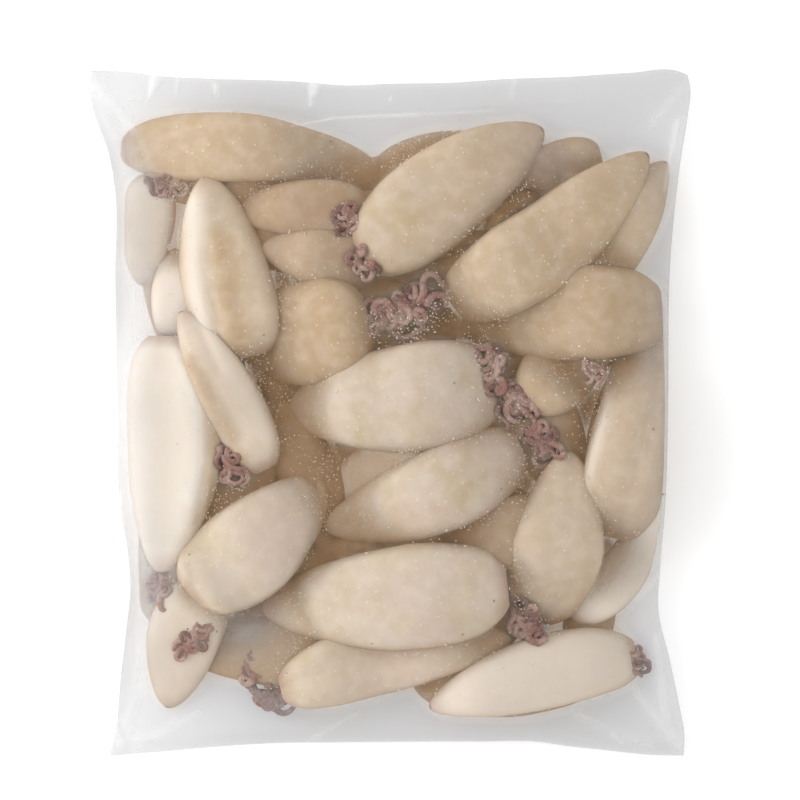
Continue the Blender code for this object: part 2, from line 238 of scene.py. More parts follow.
def settle(squids):
    # lays the squid down one by one: each one's middle line and what it lies on, the heap, and its undersides
    xs = np.arange(-field["halfX"], field["halfX"] + field["step"], field["step"])
    ys = np.arange(-field["halfY"], field["halfY"] + field["step"], field["step"])
    x, y = np.meshgrid(xs, ys)
    heap = np.zeros_like(x)
    undersides = np.full_like(x, field["nothingAbove"])
    laid = {}
    for name, squid in squids.items():
        tail, mouth, width, bend = squid
        line = restLine(squid, heap)
        laid[name] = (squid, line, heap)
        length, along, across = directions(tail, mouth)
        t = ((x - tail[0]) * along[0] + (y - tail[1]) * along[1]) / length
        insideT = np.clip(t, 0, 1)
        off = (x - tail[0]) * across[0] + (y - tail[1]) * across[1] - bend * 4 * insideT * (1 - insideT)
        half = np.maximum(width / 2 * fullness(t), 1e-6)
        inside = (t > 0) & (t < 1) & (np.abs(off) < half)
        high = halfHeight(width, t) * np.sqrt(np.clip(1 - (off / half) ** 2, 0, None))
        middle = np.interp(insideT, np.linspace(0, 1, len(line)), line)
        heap = np.where(inside, np.maximum(heap, middle + high), heap)
        undersides = np.where(inside, np.minimum(undersides, middle - high), undersides)
    return laid, heap, undersides


def crowded(steps):
    s = np.linspace(0, 1, steps + 1)
    return s - bag["crowding"] * np.sin(2 * np.pi * s) / (2 * np.pi)


def filmNet(level):
    bagLength = bag["farEdge"][0][1] - bag["nearEdge"][0][1]
    nearSeal, farSeal = bag["nearSealDepth"] / bagLength, bag["farSealDepth"] / bagLength
    sealSteps = np.linspace(0, 1, bag["sealRows"] * level + 1)[1:]
    rows = np.concatenate([-sealSteps[::-1], crowded(bag["bodyRows"] * level), 1 + sealSteps])[:, None]
    body = nearSeal + (1 - nearSeal - farSeal) * np.clip(rows, 0, 1)
    v = body + nearSeal * np.minimum(rows, 0) + farSeal * np.maximum(rows - 1, 0)
    u = crowded(bag["columns"] * level)[None, :]

    def edge(knots, share):
        places = knots[0][0] + (knots[-1][0] - knots[0][0]) * share
        return places, smoothLine(knots, places)

    leftY, leftX = edge(bag["leftEdge"], v)
    rightY, rightX = edge(bag["rightEdge"], v)
    nearX, nearY = edge(bag["nearEdge"], u)
    farX, farY = edge(bag["farEdge"], u)

    def patch(left, right, nearSide, farSide):
        corners = ((1 - u) * (1 - v) * left[0] + u * (1 - v) * right[0]
                   + (1 - u) * v * left[-1] + u * v * right[-1])
        return (1 - u) * left + u * right + (1 - v) * nearSide + v * farSide - corners

    return patch(leftX, rightX, nearX, farX), patch(leftY, rightY, nearY, farY), u, rows


def rimHeights(u, rows):
    arch = np.sin(np.pi * u)
    share = bag["sealCornerShare"] + (1 - bag["sealCornerShare"]) * arch
    wave = bag["sealWave"] * np.sin(2 * np.pi * bag["sealWaves"] * u + 0.8) * arch
    into = 1 - np.clip(np.maximum(-rows, rows - 1), 0, 1)
    outer, inner = bag["sealOuterHeight"], bag["sealInnerHeight"]
    seals = (outer + (inner - outer) * into) * share + wave * into
    lift = np.sin(np.pi * np.clip(rows, 0, 1)) ** 0.6
    return seals + (bag["sideHeight"] - inner * bag["sealCornerShare"]) * lift


def stretch(sheet, held, limit, rounds):
    for _ in range(rounds):
        drawn = sheet.copy()
        drawn[1:-1, 1:-1] = (sheet[:-2, 1:-1] + sheet[2:, 1:-1] + sheet[1:-1, :-2] + sheet[1:-1, 2:]) / 4
        sheet = np.where(held, sheet, limit(drawn))
    return sheet


def finer(sheet):
    # the same sheet with a point between every two
    rows, columns = sheet.shape
    j = np.linspace(0, rows - 1, 2 * rows - 1)
    i = np.linspace(0, columns - 1, 2 * columns - 1)
    wide = np.stack([np.interp(i, np.arange(columns), row) for row in sheet])
    return np.stack([np.interp(j, np.arange(rows), wide[:, k]) for k in range(wide.shape[1])], 1)


def drapeFilm(roofField, bedField):
    upper = lower = None
    bagWidth = bag["rightEdge"][-1][1] - bag["leftEdge"][-1][1]
    for level, rounds in bag["levels"]:
        x, y, u, rows = filmNet(level)
        roof = readField(roofField, x, y) + bag["skin"]
        roof = np.where(roof <= bag["skin"] + 1e-6, 0.0, roof)
        bed = readField(bedField, x, y) - bag["skin"]
        rim = rimHeights(u, rows)
        held = np.broadcast_to((rows <= 0) | (rows >= 1), rim.shape).copy()
        held[:, [0, -1]] = True
        dip = (bagWidth / (bag["columns"] * level)) ** 2 / (4 * bag["hollowRadius"])
        pair = bag["pair"] / level  # the seals get thinner as the net gets finer
        above, below = rim + pair / 2, rim - pair / 2
        startUpper = np.maximum(above, np.where(held, 0.0, roof)) if upper is None else finer(upper)
        startLower = below if lower is None else finer(lower)
        lower = stretch(np.where(held, below, startLower), held,
                        lambda z: np.maximum(np.minimum(z, bed), 0.0), rounds)
        upper = stretch(np.where(held, above, startUpper), held,
                        lambda z: np.maximum(np.maximum(z - dip, roof), lower + pair), rounds)
    return x, y, rows, upper, lower


def roomOutside(joined):
    # the cells that can be reached from the bag's ends without crossing the heap
    outside = np.zeros_like(joined)
    outside[[0, -1]] = True
    reached = 0
    while outside.sum() > reached:
        reached = outside.sum()
        spread = outside.copy()
        for shift, axis in ((1, 0), (-1, 0), (1, 1), (-1, 1)):
            spread |= np.roll(outside, shift, axis)
        outside = spread & ~joined
    return outside


laid, heap, undersides = settle({**underLayer, **upperLayer})
bareFloor = np.zeros_like(heap)
for name, squid in floorLayer.items():
    onFloor = halfHeight(squid[2], np.linspace(0, 1, squidForm["lineSteps"]), squidForm["endFullness"])
    laid[name] = (squid, onFloor, bareFloor)
print("squid laid:", len(laid), "and the heap is", round(float(heap.max()), 1), "mm high")

# the holes between squid, closed to the height of what is round them
heaped = (heap > field["bare"]).astype(float)
nearHeap = blurred(heaped, field["closing"])
joined = blurred(heaped, field["joining"]) > field["joined"]
farInside = blurred(roomOutside(joined).astype(float), field["insideReach"]) < field["outsideLeft"]
enclosed = np.maximum(nearHeap, farInside)
closedHeap = np.where((heaped > 0) | (enclosed < field["enclosed"]), heap,
                      blurred(heap, field["closing"]) / np.maximum(nearHeap, field["leastShare"]))
filled = np.maximum(heaped, (enclosed > field["enclosed"]).astype(float))
roughX, roughY, _, roughUpper, _ = drapeFilm(closedHeap, undersides)
print("first drape done")

# arms tangled at the mouths that show: the bundle's middle line from end to end, its half width,
# how many arms and how thick each is, all in mm
armClusters = {
    "farLong": ((-7.0, 37.0), (18.5, 41.0), 7.6, 26, 3.3),
    "farPlumpLow": ((-12.6, 60.2), (-8.1, 51.9), 3.0, 7, 2.5),
    "farPlumpHigh": ((-16.2, 77.4), (-16.6, 70.0), 3.8, 6, 2.8),
    "middlePlumpHigh": ((35.0, 23.5), (41.5, 12.0), 5.2, 14, 3.0),
    "middlePlumpLow": ((46.5, 11.5), (47.5, -2.0), 5.4, 14, 3.0),
    "middleSlim": ((51.5, -8.5), (61.0, -12.5), 5.4, 13, 3.0),
    "rightBroad": ((71.5, 19.0), (75.5, 13.0), 3.0, 7, 2.2),
    "nearPlumpHigh": ((-86.8, -59.8), (-84.2, -69.8), 3.8, 8, 2.6),
    "nearPlumpLow": ((-64.6, -77.6), (-76.3, -88.6), 4.8, 13, 2.8),
    "rightUpright": ((48.0, -72.0), (54.0, -88.6), 5.2, 13, 3.1),
    "nearAcrossHigh": ((-48.0, -91.0), (-53.0, -102.6), 4.2, 8, 3.2),
    "nearAcrossLow": ((-50.6, -105.1), (-39.6, -108.3), 4.2, 9, 3.2),
    "nearRight": ((89.4, -86.1), (94.7, -95.8), 3.0, 7, 2.3),
    "leftSmall": ((-91.8, 88.2), (-77.8, 83.4), 3.6, 8, 2.5),
    "leftSlant": ((-62.0, -12.0), (-58.0, -26.0), 4.0, 8, 2.6),
}
armForm = {
    "seed": 11, "steps": 22, "length": 15.0, "lengths": (0.6, 1.1), "usualReach": 4.0, "tipShare": 0.55,
    "startTo": 0.75, "startSpread": 0.6, "fan": 70, "bends": (0.4, 1.0), "thicknesses": (0.85, 1.15),
    "wander": 15.0, "curl": 24.0, "steer": 38.0, "turnAt": 0.8, "turnFrom": 0.5,  # curling, and back inside
    "sink": 0.5, "lift": 3.0, "stack": 0.45, "share": 0.40, "filmShare": 0.8,
    "sides": 10, "suckerSpacing": 1.5, "suckerShare": 0.2,
    "headShare": 0.62, "headSides": 20, "headRings": 15, "headEnds": 0.06, "headShown": 0.7, "headSink": 0.4,
    "headLumps": 0.35, "lumpLength": 3.0, "lumpTurns": 1.6, "headFlat": 0.8,
}


def clusterLevel(cluster):
    # the height that a bundle of arms lies at
    start, end = np.array(cluster[0], float), np.array(cluster[1], float)
    middle = np.linspace(0, 1, 9)[:, None] * (end - start) + start
    over = [roughUpper.flat[np.argmin((roughX - x) ** 2 + (roughY - y) ** 2)] for x, y in middle]
    return float(np.mean(over)) - armForm["share"] * cluster[2] - cluster[4]


def armPaths(cluster, dice):
    # each arm wanders inside its bundle and curls towards its tip, over the head in the middle
    start, end, reach, count, thick = cluster
    start, end = np.array(start, float), np.array(end, float)
    chord = end - start
    span = np.hypot(*chord)
    level = clusterLevel(cluster)
    arms = []
    for _ in range(count):
        place = start + chord * dice.uniform(0.0, armForm["startTo"])
        place = place + np.array([dice.uniform(-1, 1), dice.uniform(-1, 1)]) * reach * armForm["startSpread"]
        heading = math.degrees(math.atan2(chord[1], chord[0])) + dice.uniform(-armForm["fan"], armForm["fan"])
        length = armForm["length"] * dice.uniform(*armForm["lengths"])
        length *= 0.6 + 0.4 * reach / armForm["usualReach"]  # wider bundles have longer arms
        stride = length / armForm["steps"]
        bend = dice.choice((-1, 1)) * dice.uniform(*armForm["bends"])
        wide = thick / 2 * dice.uniform(*armForm["thicknesses"])
        lifted = armForm["stack"] * thick * dice.uniform(0, 1)
        arm = []
        for step in range(armForm["steps"]):
            s = step / (armForm["steps"] - 1)
            radius = wide * (1 - (1 - armForm["tipShare"]) * s)
            near = start + chord * min(max(np.dot(place - start, chord) / span ** 2, 0.0), 1.0)
            away = np.hypot(*(place - near)) / reach
            crown = armForm["headShare"] * reach * math.sqrt(max(1 - away ** 2, 0.0))
            rest = float(readField(heap, *place)) + armForm["sink"] * radius
            overHead = level + crown * armForm["headShown"] - armForm["headSink"]
            z = max(min(rest, level + armForm["lift"]), overHead)
            arm.append((place[0], place[1], z + lifted * math.sin(math.pi * s) ** 0.5, radius))
            if away > armForm["turnAt"]:
                home = math.degrees(math.atan2(*(near - place)[::-1]))
                turn = (home - heading + 180) % 360 - 180
                turn = max(-armForm["steer"], min(armForm["steer"], turn))
                heading += turn * min(away - armForm["turnFrom"], 1.0)
            heading += bend * (armForm["wander"] + armForm["curl"] * s) * stride
            way = math.radians(heading)
            place = place + np.array([math.cos(way), math.sin(way)]) * stride
        arms.append(np.array(arm))
    return arms


def headMesh(name, cluster, seed):
    # the soft lump in the middle of a bundle of arms
    start, end, reach, _, _ = cluster
    start, end = np.array(start, float), np.array(end, float)
    chord = end - start
    span = np.hypot(*chord)
    along = chord / span
    across = np.array([-along[1], along[0]])
    sides = armForm["headSides"]
    s = np.linspace(armForm["headEnds"], 1 - armForm["headEnds"], armForm["headRings"])[:, None]
    size = armForm["headShare"] * reach * np.sin(np.pi * s) ** 0.5
    turn = np.linspace(0, 2 * np.pi, sides, endpoint=False)
    around = armForm["lumpTurns"]
    lumps = np.array([[noise.noise(Vector((a * span / armForm["lumpLength"], math.cos(b) * around,
                                           math.sin(b) * around + seed)))
                       for b in turn] for a in s[:, 0]])
    size = size * (1 + armForm["headLumps"] * lumps)
    places = s * (span + reach) - reach / 2
    x = start[0] + along[0] * places + across[0] * size * np.cos(turn)
    y = start[1] + along[1] * places + across[1] * size * np.cos(turn)
    z = clusterLevel(cluster) + size * np.sin(turn) * armForm["headFlat"] - armForm["headSink"]
    ends = [(x[k].mean(), y[k].mean(), z[k].mean()) for k in (0, -1)]
    points = np.concatenate([np.stack([x, y, z], -1).reshape(-1, 3), ends])
    mesh = meshFrom("head_" + name, points, tubeFaces(len(s), sides))
    # the head's full tone paints it dark maroon as shade under the arms
    setAttribute(mesh, "tone", np.ones(len(points)))
    return mesh


dice = random.Random(armForm["seed"])
armSets = {name: armPaths(cluster, dice) for name, cluster in armClusters.items()}
fieldX, fieldY = np.meshgrid(np.arange(-field["halfX"], field["halfX"] + field["step"], field["step"]),
                             np.arange(-field["halfY"], field["halfY"] + field["step"], field["step"]))
covered = heap.copy()
for arms in armSets.values():
    for x, y, z, radius in np.concatenate(arms):
        near = (fieldX - x) ** 2 + (fieldY - y) ** 2 < radius ** 2
        covered[near] = np.maximum(covered[near], z + radius * armForm["filmShare"])
print("arms laid:", sum(len(arms) for arms in armSets.values()))


# small tents and drag lines in the film: from (x, y) to (x, y), half width at each end, height, all in mm
filmCreases = [
    (-87.5, 128.5, -90.6, 118.3, 4.4, 0.4, 1.3), (-79.5, 126.5, -81.2, 118.2, 1.6, 0.4, 0.6),
    (-65.8, 123.2, -65.0, 116.4, 2.2, 0.4, 0.9), (-28.3, 124.8, -29.8, 115.7, 3.6, 0.4, 1.2),
    (-0.2, 118.4, -1.0, 115.2, 1.3, 0.3, 0.6), (47.0, 125.6, 45.5, 117.5, 2.4, 0.4, 0.5),
    (-98.0, 117.9, -92.0, 117.7, 0.7, 0.4, 0.5), (-36.5, 107.4, -20.8, 110.8, 0.5, 1.0, 0.9),
    (-20.8, 110.8, 10.7, 112.2, 1.0, 1.4, 0.7), (10.7, 112.2, 40.0, 113.5, 1.4, 0.8, 0.4),
    (-110.0, 123.0, -96.0, 106.0, 4.0, 2.4, 0.5), (-107.0, 112.0, -100.0, 92.0, 4.0, 2.4, 0.5),
    (110.0, 122.0, 98.0, 108.0, 5.0, 3.0, 0.4), (108.0, 110.0, 103.0, 84.0, 2.4, 1.0, 0.6),
    (109.0, -125.0, 92.0, -104.0, 5.0, 3.0, 0.5), (104.0, -118.0, 99.5, -84.0, 4.0, 2.4, 0.5),
    (98.0, -125.0, 70.0, -113.0, 5.0, 3.0, 0.35), (83.8, -121.0, 87.8, -124.8, 1.4, 0.5, 0.7),
    (-103.7, -117.0, -100.0, -123.0, 1.8, 0.6, 0.8), (-103.0, -125.0, -93.0, -102.0, 4.5, 2.6, 0.45),
    (-96.0, -124.0, -72.0, -113.0, 5.0, 3.0, 0.35), (-30.0, -123.0, -12.0, -112.0, 1.8, 1.0, 0.4),
    (101.0, -64.0, 103.0, -20.0, 1.6, 1.0, 0.6), (-99.5, -60.0, -101.0, -30.0, 1.4, 1.0, 0.5),
]
filmForm = {
    "sealLine": 0.35, "sealLineWidth": 0.9, "creaseFade": 1.0, "glintWidth": 1.3,
    "marginReach": 7, "marginMost": 1.25, "marginFall": 1.35,
    "leftHaze": 1.5, "rightHaze": 0.95, "leftReach": 22.0, "rightReach": 15.0, "sidePower": 0.8,
    "bridgeFrom": 0.7, "bridgeOver": 5.0, "bridgePower": 0.8, "bridgeShare": 1.4,
    "armHeight": 0.05, "armReach": 3, "armClear": 0.8, "armSpread": 1.5,
    "paintedLightFrom": -98.0, "paintedLightTo": -50.0,
}
# places where the film is frosted inside: x, y, reach in mm, and how much
filmHaze = [(-88, 34, 13, 0.8), (-93, -20, 10, 0.45), (-52, -85, 13, 0.9), (94, -86, 14, 0.45),
            (-30, 104, 14, 0.5), (60, 98, 14, 0.5), (96, -30, 12, 0.4), (102, 2, 10, 1.0), (101, 38, 8, 0.9)]


def creased(x, y, rows, upper):
    glint = np.zeros_like(upper)
    for x0, y0, x1, y1, wide0, wide1, height in filmCreases:
        length = math.hypot(x1 - x0, y1 - y0)
        s = ((x - x0) * (x1 - x0) + (y - y0) * (y1 - y0)) / length ** 2
        side = np.abs((x - x0) * (y1 - y0) - (y - y0) * (x1 - x0)) / length
        wide = wide0 + (wide1 - wide0) * np.clip(s, 0, 1)
        beyond = np.maximum(np.maximum(-s, s - 1), 0) * length
        fade = np.clip(1 - beyond / (wide + filmForm["creaseFade"]), 0, 1)
        upper = upper + height * np.clip(1 - side / wide, 0, 1) * fade
        # the glint is a painted highlight along each crease
        broad = filmForm["glintWidth"]
        glint = np.maximum(glint, height * np.clip(broad - broad * side / wide, 0, 1) * fade)
    farLine = (rows - 1) * bag["farSealDepth"]
    nearLine = -rows * bag["nearSealDepth"]
    bodyLength = bag["farEdge"][0][1] - bag["nearEdge"][0][1]
    farLine = np.where(rows > 1, farLine, (rows - 1) * bodyLength)
    nearLine = np.where(rows < 0, nearLine, -rows * bodyLength)
    for line in (farLine, nearLine):
        upper = upper + filmForm["sealLine"] * np.exp(-(line / filmForm["sealLineWidth"]) ** 2)
    return upper, np.clip(glint, 0, 1)


def filmHazes(x, y, gap):
    # how hazy the film is where it stands free, and how much juice has frozen to it over the gaps, whose tan
    # brown also paints the gap's shade
    present = readField(blurred(filled, filmForm["marginReach"]), x, y)
    margin = np.clip(filmForm["marginMost"] - filmForm["marginFall"] * present, 0, 1)
    # it is hazier where it stands off the squid along the bag's sides
    for fromSide, side in ((x - x[:, :1], "left"), (x[:, -1:] - x, "right")):
        near = np.clip(1 - fromSide / filmForm[side + "Reach"], 0, 1)
        margin = np.maximum(margin, filmForm[side + "Haze"] * near ** filmForm["sidePower"])
    for atX, atY, reach, strength in filmHaze:
        margin = np.maximum(margin, strength * np.exp(-((x - atX) ** 2 + (y - atY) ** 2) / reach ** 2))
    bridged = np.clip((gap - filmForm["bridgeFrom"]) / filmForm["bridgeOver"], 0, 1)
    bridged = bridged ** filmForm["bridgePower"]
    bridged *= np.clip(filmForm["bridgeShare"] * present - (filmForm["bridgeShare"] - 1), 0, 1)
    # less of it over the arms
    armed = blurred((covered > heap + filmForm["armHeight"]).astype(float), filmForm["armReach"])
    bridged *= 1 - filmForm["armClear"] * np.clip(filmForm["armSpread"] * readField(armed, x, y), 0, 1)
    return margin, bridged


def filmMesh(x, y, upper, lower, margin, bridged, glint):
    # upper and lower sheet joined round the rim, one closed skin
    rows, columns = x.shape
    top = np.stack([x, y, upper], -1).reshape(-1, 3)
    bottom = np.stack([x, y, lower], -1).reshape(-1, 3)
    count = rows * columns
    j, i = np.meshgrid(np.arange(rows - 1), np.arange(columns - 1), indexing="ij")
    a = (j * columns + i).ravel()
    quads = np.stack([a, a + 1, a + columns + 1, a + columns], -1)
    under = quads[:, ::-1] + count
    ring = np.concatenate([np.arange(columns), np.arange(1, rows) * columns + columns - 1,
                           (rows - 1) * columns + np.arange(columns - 2, -1, -1),
                           np.arange(rows - 2, 0, -1) * columns])
    after = np.roll(ring, -1)
    walls = np.stack([ring + count, after + count, after, ring], -1)
    mesh = meshFrom("film", np.concatenate([top, bottom]), np.concatenate([quads, under, walls]).tolist())
    setAttribute(mesh, "margin", np.concatenate([margin.ravel(), margin.ravel()]))
    setAttribute(mesh, "bridged", np.concatenate([bridged.ravel(), np.zeros(count)]))
    # painted light: the film's haze is lighter towards the bag's left side, where the key lamp is
    paintedLeftLight = np.clip((x - filmForm["paintedLightTo"]) / (filmForm["paintedLightFrom"] - filmForm["paintedLightTo"]), 0, 1)
    setAttribute(mesh, "paintedLeftLight", np.concatenate([paintedLeftLight.ravel(), paintedLeftLight.ravel()]))
    setAttribute(mesh, "glint", np.concatenate([glint.ravel(), np.zeros(count)]))
    return mesh, top, bottom, quads


def slab(name, x, y, top, bottom, keep, attribute, values):
    # a closed body between two sheets, over those cells whose four corners are kept
    rows, columns = x.shape
    j, i = np.nonzero(keep[:-1, :-1] & keep[1:, :-1] & keep[:-1, 1:] & keep[1:, 1:])
    a = j * columns + i
    quads = np.stack([a, a + 1, a + columns + 1, a + columns], -1)
    edges = np.concatenate([quads[:, [k, (k + 1) % 4]] for k in range(4)]).tolist()
    known = {tuple(edge) for edge in edges}
    rim = np.array([edge for edge in edges if (edge[1], edge[0]) not in known])
    count = x.size
    walls = np.stack([rim[:, 0] + count, rim[:, 1] + count, rim[:, 1], rim[:, 0]], -1)
    used, index = np.unique(np.concatenate([quads, quads[:, ::-1] + count, walls]), return_inverse=True)
    points = np.concatenate([np.stack([x, y, z], -1).reshape(-1, 3) for z in (top, bottom)])
    mesh = meshFrom(name, points[used], index.reshape(-1, 4).tolist())
    setAttribute(mesh, attribute, np.concatenate([values.ravel(), values.ravel()])[used])
    return mesh


def meshFrom(name, points, faces, edges=()):
    mesh = bpy.data.meshes.new(name)
    shift = (*bag["centre"], 0.0)
    mesh.from_pydata(((np.asarray(points) - shift) * mm).tolist(), edges, faces)
    mesh.shade_smooth()
    return mesh


def setAttribute(mesh, name, values):
    mesh.attributes.new(name, "FLOAT", "POINT").data.foreach_set("value", np.asarray(values, float))


def addPiece(name, mesh, material):
    piece = bpy.data.objects.new(name, mesh)
    bpy.context.scene.collection.objects.link(piece)
    mesh.materials.clear()
    mesh.materials.append(material)
    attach(piece, "root")
    return piece


def tubeFaces(rings, sides):
    # quads of a lofted tube, with a fan to one point at each end
    faces = []
    for r in range(rings - 1):
        for s in range(sides):
            n = (s + 1) % sides
            faces.append((r * sides + s, r * sides + n, (r + 1) * sides + n, (r + 1) * sides + s))
    last = rings * sides
    faces += [(last, (s + 1) % sides, s) for s in range(sides)]
    row = (rings - 1) * sides
    return faces + [(last + 1, row + s, row + (s + 1) % sides) for s in range(sides)]


def heightUnder(tree, x, y, down):
    # the film's height at each place, by a ray from far above or from below
    heights = np.zeros(x.shape)
    start, way = (field["farAway"], -1.0) if down else (-field["farAway"], 1.0)
    for index in np.ndindex(x.shape):
        hit = tree.ray_cast(Vector((x[index], y[index], start)), Vector((0, 0, way)))[0]
        heights[index] = hit.z if hit else (0.0 if down else field["nothingAbove"])
    return heights


def besideLine(ends, far, off, length, width):
    # how far each place is from a line drawn on a squid, and how the line fades past its ends
    t0, side0, t1, side1 = ends
    start = np.array([t0 * length, side0 * width / 2])
    chord = np.array([t1 * length, side1 * width / 2]) - start
    reach = np.hypot(*chord)
    alongLine = ((far - start[0]) * chord[0] + (off - start[1]) * chord[1]) / reach ** 2
    beside = np.abs((far - start[0]) * chord[1] - (off - start[1]) * chord[0]) / reach
    return beside, np.clip(np.minimum(alongLine, 1 - alongLine) / squidForm["foldFade"] + 1, 0, 1)


def mantleProfile(name, width):
    # the rings along a mantle, and the half width and half height of each; the last few turn into the mouth
    rings = squidForm["rings"]
    mouthAt = squidClosed.get(name, squidForm["mouthAt"])
    steps = np.linspace(squidForm["tailCap"], 1, rings)
    outer = mouthAt * (0.5 - 0.5 * np.cos(np.pi * steps ** squidForm["ringCrowding"]))
    t = np.concatenate([outer, mouthAt - np.array(squidForm["lipDepths"])])
    shrink = np.concatenate([np.zeros(rings), squidForm["lipTurns"]])
    # the rings just inside the mouth are held to its width
    openness = np.where(t < squidForm["lipFrom"], fullness(t), np.minimum(fullness(t), fullness(mouthAt)))
    outside = np.arange(len(t)) < rings
    half = width / 2 * np.where(outside, fullness(t), openness)
    high = halfHeight(width, t) * np.where(outside, 1.0, openness / np.maximum(fullness(t), 1e-6))
    half = np.maximum(half - shrink, squidForm["leastHalf"])
    return t, half, np.maximum(high - shrink, squidForm["leastHigh"])


def softRelief(t, length, off, up, seed):
    # broad dents and fine ripples in the soft flesh, as a share of its thickness
    keep = np.ones_like(off)
    shift = Vector((seed * 7.3, seed * 3.1, 0))
    for r, s in np.ndindex(off.shape):
        at = Vector((t[r] * length, off[r, s], up[r, s] * squidForm["dentHeight"]))
        dent = noise.noise(at / squidForm["dentLength"] + shift) * 0.5 + 0.5
        ripple = noise.noise(at / squidForm["rippleLength"] - shift) * 0.5 + 0.5
        keep[r, s] = 1 - squidForm["dents"] * dent ** 2 - squidForm["ripples"] * ripple
    return keep


def heldInside(x, y):
    # the folded sides of the bag hold the squid in
    near = squidForm["sideSoft"]
    for knots, side in ((bag["leftEdge"], 1), (bag["rightEdge"], -1)):
        room = side * (x - smoothLine(knots, np.clip(y, -128, 127))) - squidForm["sideGap"]
        held = np.where(room < near, near * np.exp(np.minimum(room, near) / near - 1), room)
        x = x + side * (held - room)
    return x


def mantleMesh(name, squid, line, bed, seed):
    # one mantle: rounded tail, flattened body, and a mouth whose edge turns in to a hollow
    tail, mouth, width, bend = squid
    length, along, across = directions(tail, mouth)
    sides = squidForm["sides"]
    t, half, high = mantleProfile(name, width)
    turn = np.linspace(0, 2 * math.pi, sides, endpoint=False)
    pleat = np.clip((t - squidForm["puckersFrom"]) / squidForm["puckersOver"], 0, 1) ** 2
    pleat = pleat * squidForm["puckers"]
    pleats = 1 - pleat[:, None] * (0.5 + 0.5 * np.sin(turn * squidForm["puckerCount"] + seed))
    middle = np.interp(t, np.linspace(0, 1, len(line)), line) - squidTucked.get(name, 0.0)
    off = half[:, None] * np.cos(turn) * pleats
    full = np.sign(np.sin(turn)) * np.abs(np.sin(turn)) ** squidForm["shoulders"]
    flat = 1 - squidForm["flatTop"] * np.clip(np.sin(turn), 0, 1) ** 4
    up = high[:, None] * full * flat * pleats
    keep = softRelief(t, length, off, up, seed)
    off, up = off * keep, up * keep
    upperSide = np.clip(np.sin(turn), 0, 1) ** 0.5
    for *ends, wide, depth in squidFolds.get(name, []):
        beside, fade = besideLine(ends, t[:, None] * length, off, length, width)
        power = squidForm["narrowPower"] if wide < squidForm["narrowFold"] else squidForm["broadPower"]
        up = up - depth * np.exp(-(beside / wide) ** power) * fade * upperSide
    sideways = (bend * 4 * t * (1 - t))[:, None] + off
    x = tail[0] + along[0] * length * t[:, None] + across[0] * sideways
    y = tail[1] + along[1] * length * t[:, None] + across[1] * sideways
    x = heldInside(x, y)
    # soft on what it lies on, and never through the film above or below
    z = middle[:, None] + up
    lying = np.minimum(readField(bed, x, y) + squidForm["lyingGap"],
                       middle[:, None] - squidForm["lyingShare"] * high[:, None])
    z = np.where(np.sin(turn) < 0, np.maximum(z, lying), z)
    ceiling = heightUnder(filmTree, x, y, True) - squidForm["filmGap"]
    ground = heightUnder(filmTree, x, y, False) + squidForm["filmGap"]
    z = np.clip(z, ground, np.maximum(ceiling, ground + squidForm["leastThick"]))
    depth = np.minimum(ceiling - z, z - ground)
    tip = (tail[0], tail[1], float(z[0].mean()))
    deep = (x[-1].mean(), y[-1].mean(), z[-1].mean())
    points = np.concatenate([np.stack([x, y, z], -1).reshape(-1, 3), [tip, deep]])
    mesh = meshFrom("mantle_" + name, points, tubeFaces(len(t), sides))
    setAttribute(mesh, "along", np.concatenate([np.repeat(t, sides), [0.0, 1.0]]))
    # the distance from the film, which the flesh material turns into painted shade
    setAttribute(mesh, "depth", np.concatenate([depth.ravel(), [depth[0].mean(), depth[-1].mean()]]))
    # pale is the squid's own tone with painted light, tan its own tone, and the third value is painted shade
    pale, tan, addedShade = (np.full(off.shape, tone) for tone in squidTonesAndPaintedLight.get(name, squidTonesAndPaintedLight["others"]))
    # the stripes lay painted highlights and painted shade along the slopes of a squid
    for *ends, wide, addedPale, addedTan in squidPaintedStripes.get(name, []):
        beside, fade = besideLine(ends, t[:, None] * length, off, length, width)
        strength = np.exp(-(beside / wide) ** 2) * fade * (upperSide > 0)
        pale, tan = pale + addedPale * strength, tan + addedTan * strength
    for attribute, tone in (("pale", pale), ("tan", tan), ("addedShade", addedShade)):
        ringed = np.clip(tone, -1, 1)
        setAttribute(mesh, attribute, np.concatenate([ringed.ravel(), [ringed[0].mean(), ringed[-1].mean()]]))
    return mesh


def addNode(tree, kind, settings=None, links=None):
    # one node, its plain settings, and what runs into it as {input: (node, output)}
    node = tree.nodes.new(kind)
    for key, value in (settings or {}).items():
        if isinstance(key, int) or key in node.inputs.keys():
            node.inputs[key].default_value = value
        else:
            setattr(node, key, value)
    for key, (source, output) in (links or {}).items():
        tree.links.new(source.outputs[output], node.inputs[key])
    return node


def newMaterial(name):
    material = bpy.data.materials.new(name)
    material.use_nodes = True
    material.node_tree.nodes.clear()
    return material, material.node_tree


# cleaned squid mantle, raw: cream flesh, moist and a little translucent, clouded olive and pink; pale is its
# own tone and painted light, deep and the rim shade are painted shade
flesh = {
    "cream": "#CDBEAE", "olive": "#C3B192", "pink": "#C9B2A7", "pale": "#F2EAE0", "tan": "#BBA07D",
    "mauve": "#B0917F", "speck": "#6E5140", "deep": "#8F6C48", "cloudSize": 16.0, "pinkSize": 30.0,
    "speckSpacing": 13.0, "grainSize": 0.9, "depthShadeFrom": 1.5, "depthShadeTo": 19.0,
    "frost": "#E6DACA", "mottleSize": 5.0, "fleckSpacing": 3.4, "rimShadeColour": "#B48E62", "edge": 0.5,
}


